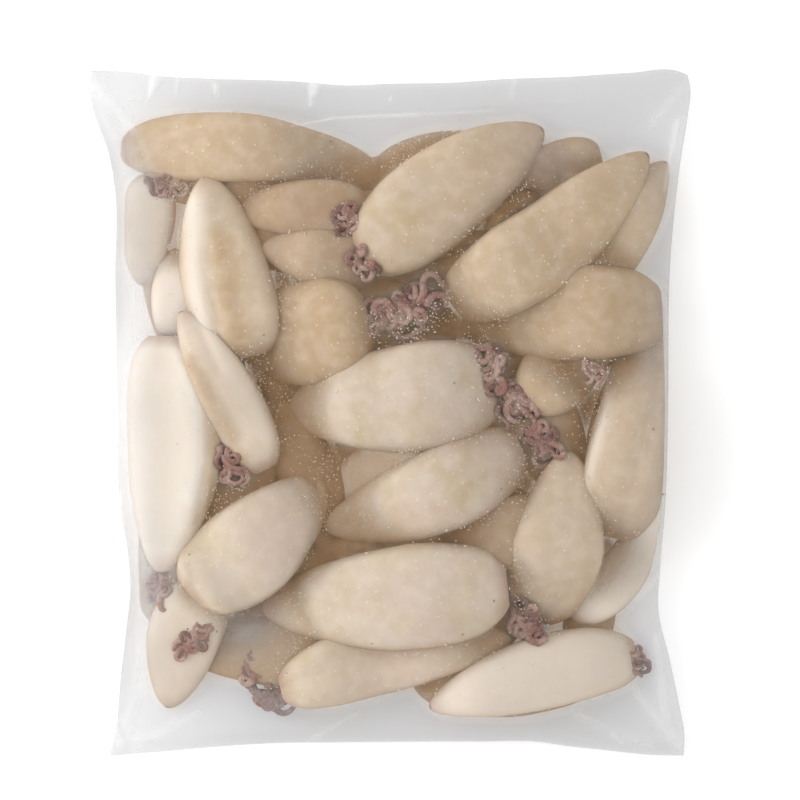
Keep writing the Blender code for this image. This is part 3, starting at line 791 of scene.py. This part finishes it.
def fleshMaterial():
    material, tree = newMaterial("raw squid mantle")
    place = addNode(tree, "ShaderNodeTexCoord")
    clouds = addNode(tree, "ShaderNodeTexNoise", {"Scale": 1 / (flesh["cloudSize"] * mm), "Detail": 3.0},
                     {"Vector": (place, "Object")})
    cloudRange = addNode(tree, "ShaderNodeMapRange", {"From Min": 0.42, "From Max": 0.68},
                         {"Value": (clouds, "Fac")})
    colour = addNode(tree, "ShaderNodeMix", {"data_type": "RGBA", 6: linear(flesh["cream"]),
                                             7: linear(flesh["olive"])}, {0: (cloudRange, "Result")})
    blush = addNode(tree, "ShaderNodeTexNoise", {"Scale": 1 / (flesh["pinkSize"] * mm), "Detail": 1.5},
                    {"Vector": (place, "Object")})
    blushRange = addNode(tree, "ShaderNodeMapRange", {"From Min": 0.45, "From Max": 0.75, "To Max": 0.7},
                         {"Value": (blush, "Fac")})
    blushed = addNode(tree, "ShaderNodeMix", {"data_type": "RGBA", 7: linear(flesh["pink"])},
                      {0: (blushRange, "Result"), 6: (colour, 2)})
    # pale and tan: each squid's own tone, with painted light and painted shade from its tones and stripes
    pale = addNode(tree, "ShaderNodeAttribute", {"attribute_name": "pale"})
    paled = addNode(tree, "ShaderNodeMix", {"data_type": "RGBA", 7: linear(flesh["pale"])},
                    {0: (pale, "Fac"), 6: (blushed, 2)})
    tan = addNode(tree, "ShaderNodeAttribute", {"attribute_name": "tan"})
    tanned = addNode(tree, "ShaderNodeMix", {"data_type": "RGBA", 7: linear(flesh["tan"])},
                     {0: (tan, "Fac"), 6: (paled, 2)})
    # fine mottling and pale flecks of frost
    mottle = addNode(tree, "ShaderNodeTexNoise", {"Scale": 1 / (flesh["mottleSize"] * mm), "Detail": 2.0,
                                                  "Roughness": 0.5}, {"Vector": (place, "Object")})
    mottleRange = addNode(tree, "ShaderNodeMapRange", {"From Min": 0.40, "From Max": 0.72, "To Max": 0.26},
                          {"Value": (mottle, "Fac")})
    mottled = addNode(tree, "ShaderNodeMix", {"data_type": "RGBA", 7: linear(flesh["frost"])},
                      {0: (mottleRange, "Result"), 6: (tanned, 2)})
    flecks = addNode(tree, "ShaderNodeTexVoronoi", {"Scale": 1 / (flesh["fleckSpacing"] * mm)},
                     {"Vector": (place, "Object")})
    fleckRange = addNode(tree, "ShaderNodeMapRange", {"From Min": 0.16, "From Max": 0.08, "To Max": 0.5},
                         {"Value": (flecks, "Distance")})
    frosted = addNode(tree, "ShaderNodeMix", {"data_type": "RGBA", 7: linear(flesh["frost"])},
                      {0: (fleckRange, "Result"), 6: (mottled, 2)})
    # painted shade: flesh seen along its surface, towards the rims, is mixed towards a darker tan
    slant = addNode(tree, "ShaderNodeLayerWeight", {"Blend": 0.5})
    rimShadeShare = addNode(tree, "ShaderNodeMapRange",
                      {"From Min": 0.25, "From Max": 0.95, "To Max": flesh["edge"]},
                      {"Value": (slant, "Facing")})
    rimShaded = addNode(tree, "ShaderNodeMix", {"data_type": "RGBA", 7: linear(flesh["rimShadeColour"])},
                    {0: (rimShadeShare, "Result"), 6: (frosted, 2)})
    # the tail and the mouth's edge are pinkish mauve, and the tail's very tip is dark
    lengthwise = addNode(tree, "ShaderNodeAttribute", {"attribute_name": "along"})
    rim = addNode(tree, "ShaderNodeMapRange", {"From Min": 0.93, "From Max": 0.985, "To Max": 0.7},
                  {"Value": (lengthwise, "Fac")})
    tip = addNode(tree, "ShaderNodeMapRange", {"From Min": 0.10, "From Max": 0.0, "To Max": 0.45},
                  {"Value": (lengthwise, "Fac")})
    ends = addNode(tree, "ShaderNodeMath", {"operation": "MAXIMUM"}, {0: (rim, "Result"), 1: (tip, "Result")})
    rimmed = addNode(tree, "ShaderNodeMix", {"data_type": "RGBA", 7: linear(flesh["mauve"])},
                     {0: (ends, "Value"), 6: (rimShaded, 2)})
    point = addNode(tree, "ShaderNodeMapRange", {"From Min": 0.014, "From Max": 0.006, "To Max": 0.7},
                    {"Value": (lengthwise, "Fac")})
    pointed = addNode(tree, "ShaderNodeMix", {"data_type": "RGBA", 7: linear(flesh["speck"])},
                      {0: (point, "Result"), 6: (rimmed, 2)})
    # painted shade: what lies further behind the film, and each squid's added shade, is mixed towards a
    # darker brown
    behind = addNode(tree, "ShaderNodeAttribute", {"attribute_name": "depth"})
    depth = addNode(tree, "ShaderNodeMapRange",
                    {"From Min": flesh["depthShadeFrom"], "From Max": flesh["depthShadeTo"], "To Max": 0.75},
                    {"Value": (behind, "Fac")})
    addedShade = addNode(tree, "ShaderNodeAttribute", {"attribute_name": "addedShade"})
    shadeByDepthAndTone = addNode(tree, "ShaderNodeMath", {"operation": "ADD", "use_clamp": True},
                    {0: (depth, "Result"), 1: (addedShade, "Fac")})
    depthShaded = addNode(tree, "ShaderNodeMix", {"data_type": "RGBA", 7: linear(flesh["deep"])},
                   {0: (shadeByDepthAndTone, "Value"), 6: (pointed, 2)})
    cells = addNode(tree, "ShaderNodeTexVoronoi", {"Scale": 1 / (flesh["speckSpacing"] * mm)},
                    {"Vector": (place, "Object")})
    speck = addNode(tree, "ShaderNodeMapRange", {"From Min": 0.045, "From Max": 0.03, "To Max": 0.6},
                    {"Value": (cells, "Distance")})
    specked = addNode(tree, "ShaderNodeMix", {"data_type": "RGBA", 7: linear(flesh["speck"])},
                      {0: (speck, "Result"), 6: (depthShaded, 2)})
    grain = addNode(tree, "ShaderNodeTexNoise", {"Scale": 1 / (flesh["grainSize"] * mm), "Detail": 2.0},
                    {"Vector": (place, "Object")})
    bump = addNode(tree, "ShaderNodeBump", {"Strength": 0.06, "Distance": 0.0004}, {"Height": (grain, "Fac")})
    shader = addNode(tree, "ShaderNodeBsdfPrincipled",
                     {"Roughness": 0.5, "IOR": 1.36, "Specular IOR Level": 0.35, "Subsurface Weight": 0.35,
                      "Subsurface Scale": 0.004, "Subsurface Radius": (1.0, 0.6, 0.35)},
                     {"Base Color": (specked, 2), "Normal": (bump, "Normal")})
    addNode(tree, "ShaderNodeOutputMaterial", {}, {"Surface": (shader, "BSDF")})
    return material


# squid arms and heads, raw: mauve brown skin dotted with maroon, with pale suckers; the heads are painted
# dark as shade under the arms
armLook = {"skin": "#9B7167", "pale": "#BB9E92", "maroon": "#5A3B34", "dark": 0.7, "dotSpacing": 1.0,
           "patchSize": 7.0}


def armMaterial():
    material, tree = newMaterial("raw squid arms")
    place = addNode(tree, "ShaderNodeTexCoord")
    patches = addNode(tree, "ShaderNodeTexNoise", {"Scale": 1 / (armLook["patchSize"] * mm), "Detail": 3.0},
                      {"Vector": (place, "Object")})
    patchRange = addNode(tree, "ShaderNodeMapRange", {"From Min": 0.42, "From Max": 0.62},
                         {"Value": (patches, "Fac")})
    skin = addNode(tree, "ShaderNodeMix", {"data_type": "RGBA", 6: linear(armLook["skin"]),
                                           7: linear(armLook["pale"])}, {0: (patchRange, "Result")})
    # some arms are darker at random, and the soft heads under them are darkest, as painted shade in the
    # middle of each bundle
    tone = addNode(tree, "ShaderNodeAttribute", {"attribute_name": "tone"})
    darkerToneAndHollowShade = addNode(tree, "ShaderNodeMapRange",
                     {"From Min": 0.45, "From Max": 1.0, "To Max": armLook["dark"]},
                     {"Value": (tone, "Fac")})
    toned = addNode(tree, "ShaderNodeMix", {"data_type": "RGBA", 7: linear(armLook["maroon"])},
                    {0: (darkerToneAndHollowShade, "Result"), 6: (skin, 2)})
    dots = addNode(tree, "ShaderNodeTexVoronoi", {"Scale": 1 / (armLook["dotSpacing"] * mm)},
                   {"Vector": (place, "Object")})
    dotRange = addNode(tree, "ShaderNodeMapRange", {"From Min": 0.45, "From Max": 0.15, "To Max": 0.5},
                       {"Value": (dots, "Distance")})
    dotted = addNode(tree, "ShaderNodeMix", {"data_type": "RGBA", 7: linear(armLook["maroon"])},
                     {0: (dotRange, "Result"), 6: (toned, 2)})
    sucker = addNode(tree, "ShaderNodeAttribute", {"attribute_name": "pale"})
    suckered = addNode(tree, "ShaderNodeMix", {"data_type": "RGBA", 7: linear(armLook["pale"])},
                       {0: (sucker, "Fac"), 6: (dotted, 2)})
    shader = addNode(tree, "ShaderNodeBsdfPrincipled",
                     {"Roughness": 0.42, "IOR": 1.36, "Subsurface Weight": 0.2, "Subsurface Scale": 0.0015,
                      "Subsurface Radius": (1.0, 0.55, 0.45)},
                     {"Base Color": (suckered, 2)})
    addNode(tree, "ShaderNodeOutputMaterial", {}, {"Surface": (shader, "BSDF")})
    return material


# polyethylene film, blown and heat sealed: clear, with a haze where it stands free of the squid, painted grey
# as shade and painted lighter towards the left as light
film = {"haze": "#B6B6B8", "paintedLitHaze": "#D8D8D9", "wetHaze": "#E3D6C4", "bridgeBloomAndShade": "#A28260",
        "wetAlpha": 0.03, "dryAlpha": 0.27, "bridgeAlpha": 0.45, "edgeAlpha": 0.12, "glintPaintColour": "#F4F4F5",
        "glintPaintAlpha": 0.2, "ruckle": 5.0, "patchSize": 7.0}


def filmMaterial():
    material, tree = newMaterial("polyethylene film")
    margin = addNode(tree, "ShaderNodeAttribute", {"attribute_name": "margin"})
    base = addNode(tree, "ShaderNodeMapRange",
                   {"clamp": False, "To Min": film["wetAlpha"], "To Max": film["dryAlpha"]},
                   {"Value": (margin, "Fac")})
    facing = addNode(tree, "ShaderNodeLayerWeight", {"Blend": 0.3})
    edge = addNode(tree, "ShaderNodeMath", {"operation": "MULTIPLY", 1: film["edgeAlpha"]},
                   {0: (facing, "Facing")})
    # where it spans a gap, juice has frozen onto its inside in a patchy tan bloom, whose tan brown is partly
    # painted shade of the gap below
    bridged = addNode(tree, "ShaderNodeAttribute", {"attribute_name": "bridged"})
    place = addNode(tree, "ShaderNodeTexCoord")
    patches = addNode(tree, "ShaderNodeTexNoise", {"Scale": 1 / (film["patchSize"] * mm), "Detail": 4.0},
                      {"Vector": (place, "Object")})
    patchRange = addNode(tree, "ShaderNodeMapRange", {"From Min": 0.3, "From Max": 0.7, "To Min": 0.45,
                                                      "To Max": 1.0}, {"Value": (patches, "Fac")})
    bloom = addNode(tree, "ShaderNodeMath", {"operation": "MULTIPLY"},
                    {0: (bridged, "Fac"), 1: (patchRange, "Result")})
    hazed = addNode(tree, "ShaderNodeMath", {"operation": "MULTIPLY_ADD", 1: film["bridgeAlpha"]},
                    {0: (bloom, "Value"), 2: (base, "Result")})
    alpha = addNode(tree, "ShaderNodeMath", {"operation": "ADD", "use_clamp": True},
                    {0: (hazed, "Value"), 1: (edge, "Value")})
    folds = addNode(tree, "ShaderNodeTexNoise", {"Scale": 1 / (film["ruckle"] * mm), "Detail": 3.0},
                    {"Vector": (place, "Object")})
    bump = addNode(tree, "ShaderNodeBump", {"Strength": 0.25, "Distance": 0.0008}, {"Height": (folds, "Fac")})
    tinted = addNode(tree, "ShaderNodeMix", {"data_type": "RGBA", 6: linear(film["wetHaze"]),
                                             7: linear(film["bridgeBloomAndShade"])}, {0: (bridged, "Fac")})
    # painted light and shade: the free haze is painted grey, and lighter towards the left where the key lamp
    # is
    paintedLeftLight = addNode(tree, "ShaderNodeAttribute", {"attribute_name": "paintedLeftLight"})
    paintedShadeAndLightHaze = addNode(tree, "ShaderNodeMix", {"data_type": "RGBA", 6: linear(film["haze"]),
                                           7: linear(film["paintedLitHaze"])}, {0: (paintedLeftLight, "Fac")})
    haze = addNode(tree, "ShaderNodeMix", {"data_type": "RGBA"},
                   {0: (margin, "Fac"), 6: (tinted, 2), 7: (paintedShadeAndLightHaze, 2)})
    # painted glints: along the creases the film is painted near white and made less clear
    glint = addNode(tree, "ShaderNodeAttribute", {"attribute_name": "glint"})
    bright = addNode(tree, "ShaderNodeMix", {"data_type": "RGBA", 7: linear(film["glintPaintColour"])},
                     {0: (glint, "Fac"), 6: (haze, 2)})
    opaque = addNode(tree, "ShaderNodeMath",
                     {"operation": "MULTIPLY_ADD", "use_clamp": True, 1: film["glintPaintAlpha"]},
                     {0: (glint, "Fac"), 2: (alpha, "Value")})
    shader = addNode(tree, "ShaderNodeBsdfPrincipled",
                     {"Roughness": 0.34, "IOR": 1.5, "Specular IOR Level": 0.3},
                     {"Base Color": (bright, 2), "Alpha": (opaque, "Value"), "Normal": (bump, "Normal")})
    addNode(tree, "ShaderNodeOutputMaterial", {}, {"Surface": (shader, "BSDF")})
    return material


# ice: small clear to milky grains frozen onto the inside of the film, thickest in patches over the gaps;
# the density is for a square metre
ice = {"milk": "#F2E8D8", "density": 520000.0, "size": 0.46, "seed": 5, "under": 0.55,
       "patchLength": 14.0, "patchSeed": 3.0, "patchGain": 2.4, "patchLess": 0.75, "patchPower": 1.5,
       "everywhere": 0.04, "gapFrom": 0.4, "gapOver": 3.0, "marginMost": 0.6}


def iceMaterial():
    material, tree = newMaterial("ice grains")
    shader = addNode(tree, "ShaderNodeBsdfPrincipled",
                     {"Base Color": linear(ice["milk"]), "Roughness": 0.2, "IOR": 1.31, "Alpha": 0.85})
    addNode(tree, "ShaderNodeOutputMaterial", {}, {"Surface": (shader, "BSDF")})
    return material


# frozen juice: a cloudy tan body that fills the bag between the squid, a few millimetres below the film; its
# tan and dark brown are partly painted shade of the gaps
glaze = {"amberAndShade": "#A58763", "cloudAndShade": "#7D5D42", "cloudSize": 8.0, "step": 1.5, "reach": 8, "drop": 7.5,
         "below": 12.5, "belowArms": 3.0, "armHeight": 0.3, "murky": 10.0, "thinAlpha": 0.05,
         "thickAlpha": 0.95, "foot": 2.0, "clear": 0.7, "rough": 1.2, "roughLength": 5.0, "roughSeed": 7.0,
         "lyingReach": 2, "dive": 2.0, "diveDepth": 3.0,
         "halfX": 99.0, "nearY": -114.0, "farY": 111.0, "pastEnd": 0.1}


def glazeMesh():
    x, y = np.meshgrid(np.arange(-glaze["halfX"], glaze["halfX"] + glaze["pastEnd"], glaze["step"]),
                       np.arange(glaze["nearY"], glaze["farY"] + glaze["pastEnd"], glaze["step"]))
    rough = np.array([noise.noise(Vector((a, b, glaze["roughSeed"])) / glaze["roughLength"])
                      for a, b in zip(x.ravel(), y.ravel())]).reshape(x.shape)
    under = heightUnder(filmTree, x, y, True)
    level = readField(blurred(closedHeap, glaze["reach"]), x, y) - glaze["drop"]
    level = np.maximum(level, under - glaze["below"]) + glaze["rough"] * rough
    arms = readField(covered, x, y)
    level = np.where(arms > readField(heap, x, y) + glaze["armHeight"],
                     np.minimum(level, arms - glaze["belowArms"]), level)
    # it dives where it would lie just inside a squid's skin
    lying = readField(blurred(heap, glaze["lyingReach"]), x, y)
    level -= glaze["dive"] * np.clip(lying - level, 0, glaze["diveDepth"])
    top = np.minimum(level, under - glaze["clear"])
    bottom = np.maximum(heightUnder(filmTree, x, y, False) + glaze["clear"], glaze["foot"])
    inside = readField(enclosed, x, y) > field["enclosed"]
    thickness = np.clip((top - lying) / glaze["murky"], 0, 1)
    return slab("glaze", x, y, top, bottom, inside & (top > bottom + glaze["clear"]), "murk", thickness)


def glazeMaterial():
    material, tree = newMaterial("juice glaze and gap shade")
    place = addNode(tree, "ShaderNodeTexCoord")
    clouds = addNode(tree, "ShaderNodeTexNoise", {"Scale": 1 / (glaze["cloudSize"] * mm), "Detail": 5.0},
                     {"Vector": (place, "Object")})
    cloudRange = addNode(tree, "ShaderNodeMapRange", {"From Min": 0.35, "From Max": 0.65},
                         {"Value": (clouds, "Fac")})
    # the juice's own clouds, darkened as painted shade of the gaps
    colour = addNode(tree, "ShaderNodeMix", {"data_type": "RGBA", 6: linear(glaze["amberAndShade"]),
                                             7: linear(glaze["cloudAndShade"])}, {0: (cloudRange, "Result")})
    # a thin layer of it over a squid is clearer than a deep one
    murk = addNode(tree, "ShaderNodeAttribute", {"attribute_name": "murk"})
    alpha = addNode(tree, "ShaderNodeMapRange", {"To Min": glaze["thinAlpha"], "To Max": glaze["thickAlpha"]},
                    {"Value": (murk, "Fac")})
    shader = addNode(tree, "ShaderNodeBsdfPrincipled",
                     {"Roughness": 0.6, "IOR": 1.31, "Specular IOR Level": 0.2},
                     {"Base Color": (colour, 2), "Alpha": (alpha, "Result")})
    addNode(tree, "ShaderNodeOutputMaterial", {}, {"Surface": (shader, "BSDF")})
    return material


def newTree(name, sockets):
    # a Geometry Nodes tree with named inputs, and its input node
    tree = bpy.data.node_groups.new(name, "GeometryNodeTree")
    tree.interface.new_socket("Geometry", in_out="OUTPUT", socket_type="NodeSocketGeometry")
    tree.interface.new_socket("Geometry", in_out="INPUT", socket_type="NodeSocketGeometry")
    for socket, kind in sockets.items():
        tree.interface.new_socket(socket, in_out="INPUT", socket_type=kind)
    return tree, tree.nodes.new("NodeGroupInput")


def runTree(tree, mesh, values):
    # the tree's result on a mesh, as a plain mesh
    carrier = bpy.data.objects.new(mesh.name, mesh)
    bpy.context.scene.collection.objects.link(carrier)
    modifier = carrier.modifiers.new(tree.name, "NODES")
    modifier.node_group = tree
    for item in tree.interface.items_tree:
        if item.in_out == "INPUT" and item.name in values:
            modifier[item.identifier] = values[item.name]
    graph = bpy.context.evaluated_depsgraph_get()
    result = bpy.data.meshes.new_from_object(carrier.evaluated_get(graph))
    carrier.modifiers.remove(modifier)
    bpy.data.objects.remove(carrier)
    return result


def armTree():
    # tapered tubes along the arms' paths, with two rows of sucker rings on each
    tree, given = newTree("squid arms", {"Sides": "NodeSocketInt", "Sucker Spacing": "NodeSocketFloat",
                                         "Sucker Share": "NodeSocketFloat", "Material": "NodeSocketMaterial"})
    curves = addNode(tree, "GeometryNodeMeshToCurve", {}, {"Mesh": (given, "Geometry")})
    thickness = addNode(tree, "GeometryNodeInputNamedAttribute", {"data_type": "FLOAT", "Name": "thickness"})
    section = addNode(tree, "GeometryNodeCurvePrimitiveCircle", {"Radius": 1.0},
                      {"Resolution": (given, "Sides")})
    tubes = addNode(tree, "GeometryNodeCurveToMesh", {"Fill Caps": True},
                    {"Curve": (curves, "Curve"), "Profile Curve": (section, "Curve"),
                     "Scale": (thickness, "Attribute")})
    spots = addNode(tree, "GeometryNodeCurveToPoints", {"mode": "LENGTH"},
                    {"Curve": (curves, "Curve"), "Length": (given, "Sucker Spacing")})
    index = addNode(tree, "GeometryNodeInputIndex")
    parity = addNode(tree, "ShaderNodeMath", {"operation": "MODULO", 1: 2.0}, {0: (index, "Index")})
    sideways = addNode(tree, "ShaderNodeMath", {"operation": "MULTIPLY_ADD", 1: 1.3, 2: -0.65},
                       {0: (parity, "Value")})
    across = addNode(tree, "ShaderNodeVectorMath", {"operation": "CROSS_PRODUCT", 1: (0, 0, 1)},
                     {0: (spots, "Tangent")})
    leaning = addNode(tree, "ShaderNodeVectorMath", {"operation": "SCALE"},
                      {0: (across, "Vector"), "Scale": (sideways, "Value")})
    outward = addNode(tree, "ShaderNodeVectorMath", {"operation": "ADD", 1: (0, 0, 0.75)},
                      {0: (leaning, "Vector")})
    offset = addNode(tree, "ShaderNodeVectorMath", {"operation": "SCALE"},
                     {0: (outward, "Vector"), "Scale": (thickness, "Attribute")})
    placed = addNode(tree, "GeometryNodeSetPosition", {},
                     {"Geometry": (spots, "Points"), "Offset": (offset, "Vector")})
    ring = addNode(tree, "GeometryNodeCurvePrimitiveCircle", {"Resolution": 9, "Radius": 1.0})
    wall = addNode(tree, "GeometryNodeCurvePrimitiveCircle", {"Resolution": 5, "Radius": 0.42})
    cup = addNode(tree, "GeometryNodeCurveToMesh", {},
                  {"Curve": (ring, "Curve"), "Profile Curve": (wall, "Curve")})
    paleCup = addNode(tree, "GeometryNodeStoreNamedAttribute",
                      {"data_type": "FLOAT", "domain": "POINT", "Name": "pale", "Value": 1.0},
                      {"Geometry": (cup, "Mesh")})
    facing = addNode(tree, "FunctionNodeAlignRotationToVector", {"axis": "Z"},
                     {"Vector": (outward, "Vector")})
    size = addNode(tree, "ShaderNodeMath", {"operation": "MULTIPLY"},
                   {0: (thickness, "Attribute"), 1: (given, "Sucker Share")})
    cups = addNode(tree, "GeometryNodeInstanceOnPoints", {},
                   {"Points": (placed, "Geometry"), "Instance": (paleCup, "Geometry"),
                    "Rotation": (facing, "Rotation"), "Scale": (size, "Value")})
    joined = addNode(tree, "GeometryNodeJoinGeometry", {}, {"Geometry": (cups, "Instances")})
    tree.links.new(tubes.outputs["Mesh"], joined.inputs["Geometry"])
    real = addNode(tree, "GeometryNodeRealizeInstances", {}, {"Geometry": (joined, "Geometry")})
    finished = addNode(tree, "GeometryNodeSetMaterial", {},
                       {"Geometry": (real, "Geometry"), "Material": (given, "Material")})
    addNode(tree, "NodeGroupOutput", {}, {"Geometry": (finished, "Geometry")})
    return tree


def iceTree():
    # grains scattered over a surface by its "frost", each stretched and turned its own way
    tree, given = newTree("ice grains", {"Density": "NodeSocketFloat", "Size": "NodeSocketFloat",
                                         "Seed": "NodeSocketInt", "Material": "NodeSocketMaterial"})
    frost = addNode(tree, "GeometryNodeInputNamedAttribute", {"data_type": "FLOAT", "Name": "frost"})
    density = addNode(tree, "ShaderNodeMath", {"operation": "MULTIPLY"},
                      {0: (frost, "Attribute"), 1: (given, "Density")})
    spots = addNode(tree, "GeometryNodeDistributePointsOnFaces", {"distribute_method": "RANDOM"},
                    {"Mesh": (given, "Geometry"), "Density": (density, "Value"), "Seed": (given, "Seed")})
    grain = addNode(tree, "GeometryNodeMeshIcoSphere", {"Subdivisions": 1}, {"Radius": (given, "Size")})
    turn = addNode(tree, "FunctionNodeRandomValue", {"data_type": "FLOAT_VECTOR", 1: (6.3, 6.3, 6.3)},
                   {"Seed": (given, "Seed")})
    stretch = addNode(tree, "FunctionNodeRandomValue",
                      {"data_type": "FLOAT_VECTOR", 0: (0.35, 0.25, 0.2), 1: (1.5, 0.8, 0.6), "Seed": 3})
    grains = addNode(tree, "GeometryNodeInstanceOnPoints", {},
                     {"Points": (spots, "Points"), "Instance": (grain, "Mesh"),
                      "Rotation": (turn, "Value"), "Scale": (stretch, "Value")})
    real = addNode(tree, "GeometryNodeRealizeInstances", {}, {"Geometry": (grains, "Instances")})
    finished = addNode(tree, "GeometryNodeSetMaterial", {},
                       {"Geometry": (real, "Geometry"), "Material": (given, "Material")})
    addNode(tree, "NodeGroupOutput", {}, {"Geometry": (finished, "Geometry")})
    return tree


def armsMesh(name, arms, skin):
    # a bundle's paths as edges, with each arm's tone and thickness, made into tubes with suckers
    steps = armForm["steps"]
    edges = [(a * steps + k, a * steps + k + 1) for a in range(len(arms)) for k in range(steps - 1)]
    paths = meshFrom("arms_" + name, np.concatenate([arm[:, :3] for arm in arms]), [], edges)
    setAttribute(paths, "tone", np.repeat([dice.uniform(0, 1) for _ in arms], steps))
    setAttribute(paths, "thickness", np.concatenate([arm[:, 3] for arm in arms]) * mm)
    return runTree(armNodes, paths, {"Sides": armForm["sides"], "Material": skin,
                                     "Sucker Spacing": armForm["suckerSpacing"] * mm,
                                     "Sucker Share": armForm["suckerShare"]})


def frostMesh(sheet, quads, gap, margin):
    # the film's upper sheet a little lower down, with how much frost each place has: most over the gaps
    at = sheet / ice["patchLength"]
    patchy = np.array([noise.noise(Vector((x, y, ice["patchSeed"]))) for x, y, _ in at]) * 0.5 + 0.5
    patchy = np.clip(patchy * ice["patchGain"] - ice["patchLess"], 0, 1) ** ice["patchPower"]
    inGap = np.clip((gap - ice["gapFrom"]) / ice["gapOver"], 0, 1) * (1 - margin)
    mesh = meshFrom("ice_grains", sheet - (0, 0, ice["under"]), quads.tolist())
    setAttribute(mesh, "frost", (ice["everywhere"] + inGap) * patchy * (margin < ice["marginMost"]))
    return mesh


# the film first, because the squid lie against it
netX, netY, netRows, upper, lower = drapeFilm(np.maximum(covered, closedHeap), undersides)
gap = upper - readField(covered, netX, netY)
margin, bridged = filmHazes(netX, netY, gap)
upper, glint = creased(netX, netY, netRows, upper)
filmSkin, topPoints, bottomPoints, filmQuads = filmMesh(netX, netY, upper, lower, margin, bridged, glint)
allPoints = [Vector(p) for p in np.concatenate([topPoints, bottomPoints])]
allQuads = np.concatenate([filmQuads, filmQuads + len(topPoints)]).tolist()
filmTree = BVHTree.FromPolygons(allPoints, allQuads)
filmPiece = addPiece("film", filmSkin, filmMaterial())
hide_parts("squid_bag")
print("film draped")

fleshLook = fleshMaterial()
for number, (name, (squid, line, bed)) in enumerate(laid.items()):
    addPiece("mantle_" + name, mantleMesh(name, squid, line, bed, number), fleshLook)
print("mantles made")

armSkin = armMaterial()
armNodes = armTree()
for name, arms in armSets.items():
    addPiece("arms_" + name, armsMesh(name, arms, armSkin), armSkin)
    addPiece("head_" + name, headMesh(name, armClusters[name], len(arms)), armSkin)
addPiece("glaze", glazeMesh(), glazeMaterial())
print("arms and glaze made")

frostBed = frostMesh(topPoints, filmQuads, gap.ravel(), margin.ravel())
iceLook = iceMaterial()
grains = runTree(iceTree(), frostBed, {"Density": ice["density"], "Size": ice["size"] * mm,
                                       "Seed": ice["seed"], "Material": iceLook})
addPiece("ice_grains", grains, iceLook)
print("ice grains:", len(grains.polygons) // 20)

# studio: a white floor, an even white surround, and one large soft light low on the left, whose place
# and size are in metres
studio = {"floor": "#F6F6F6", "floorGlow": 0.23, "keyPower": 5.0, "keySize": 0.9,
          "keyAt": (-0.75, 0.12, 0.46), "surround": 0.83, "floorReach": 3000, "floorBelow": 0.2}


def buildStudio():
    material, tree = newMaterial("matt white floor")
    shader = addNode(tree, "ShaderNodeBsdfPrincipled",
                     {"Base Color": linear(studio["floor"]), "Roughness": 0.9,
                      "Emission Color": (1, 1, 1, 1), "Emission Strength": studio["floorGlow"]})
    addNode(tree, "ShaderNodeOutputMaterial", {}, {"Surface": (shader, "BSDF")})
    corners = [(a * studio["floorReach"], b * studio["floorReach"], -studio["floorBelow"])
               for a, b in ((-1, -1), (1, -1), (1, 1), (-1, 1))]
    floor = bpy.data.objects.new("floor", meshFrom("floor", corners, [(0, 1, 2, 3)]))
    floor.data.materials.append(material)
    bpy.context.scene.collection.objects.link(floor)
    key = bpy.data.objects.new("key light", bpy.data.lights.new("key light", "AREA"))
    key.data.energy = studio["keyPower"]
    key.data.size = studio["keySize"]
    key.location = studio["keyAt"]
    key.rotation_euler = (-Vector(studio["keyAt"])).to_track_quat("-Z", "Y").to_euler()
    bpy.context.scene.collection.objects.link(key)
    world = bpy.data.worlds.new("white surround")
    bpy.context.scene.world = world
    world.use_nodes = True
    world.node_tree.nodes["Background"].inputs["Color"].default_value = (1, 1, 1, 1)
    world.node_tree.nodes["Background"].inputs["Strength"].default_value = studio["surround"]
    bpy.context.scene.view_settings.view_transform = "Standard"


# the camera looks straight down, as in the photograph, through a long lens
shot = {"pixelSize": 0.375, "pixels": 800, "lens": 200.0, "sensor": 36.0, "centre": (3.7, 4.7),
        "plane": 9.0, "farthest": 100.0}  # all in millimetres, but the farthest in metres


def buildCamera():
    camera = bpy.data.objects.new("camera", bpy.data.cameras.new("camera"))
    camera.data.lens = shot["lens"]
    camera.data.sensor_width = shot["sensor"]
    camera.data.clip_end = shot["farthest"]
    distance = shot["pixelSize"] * shot["pixels"] * shot["lens"] / shot["sensor"]
    camera.location = (shot["centre"][0] * mm, shot["centre"][1] * mm, (distance + shot["plane"]) * mm)
    bpy.context.scene.collection.objects.link(camera)
    bpy.context.scene.camera = camera


buildStudio()
buildCamera()
print("studio and camera ready")
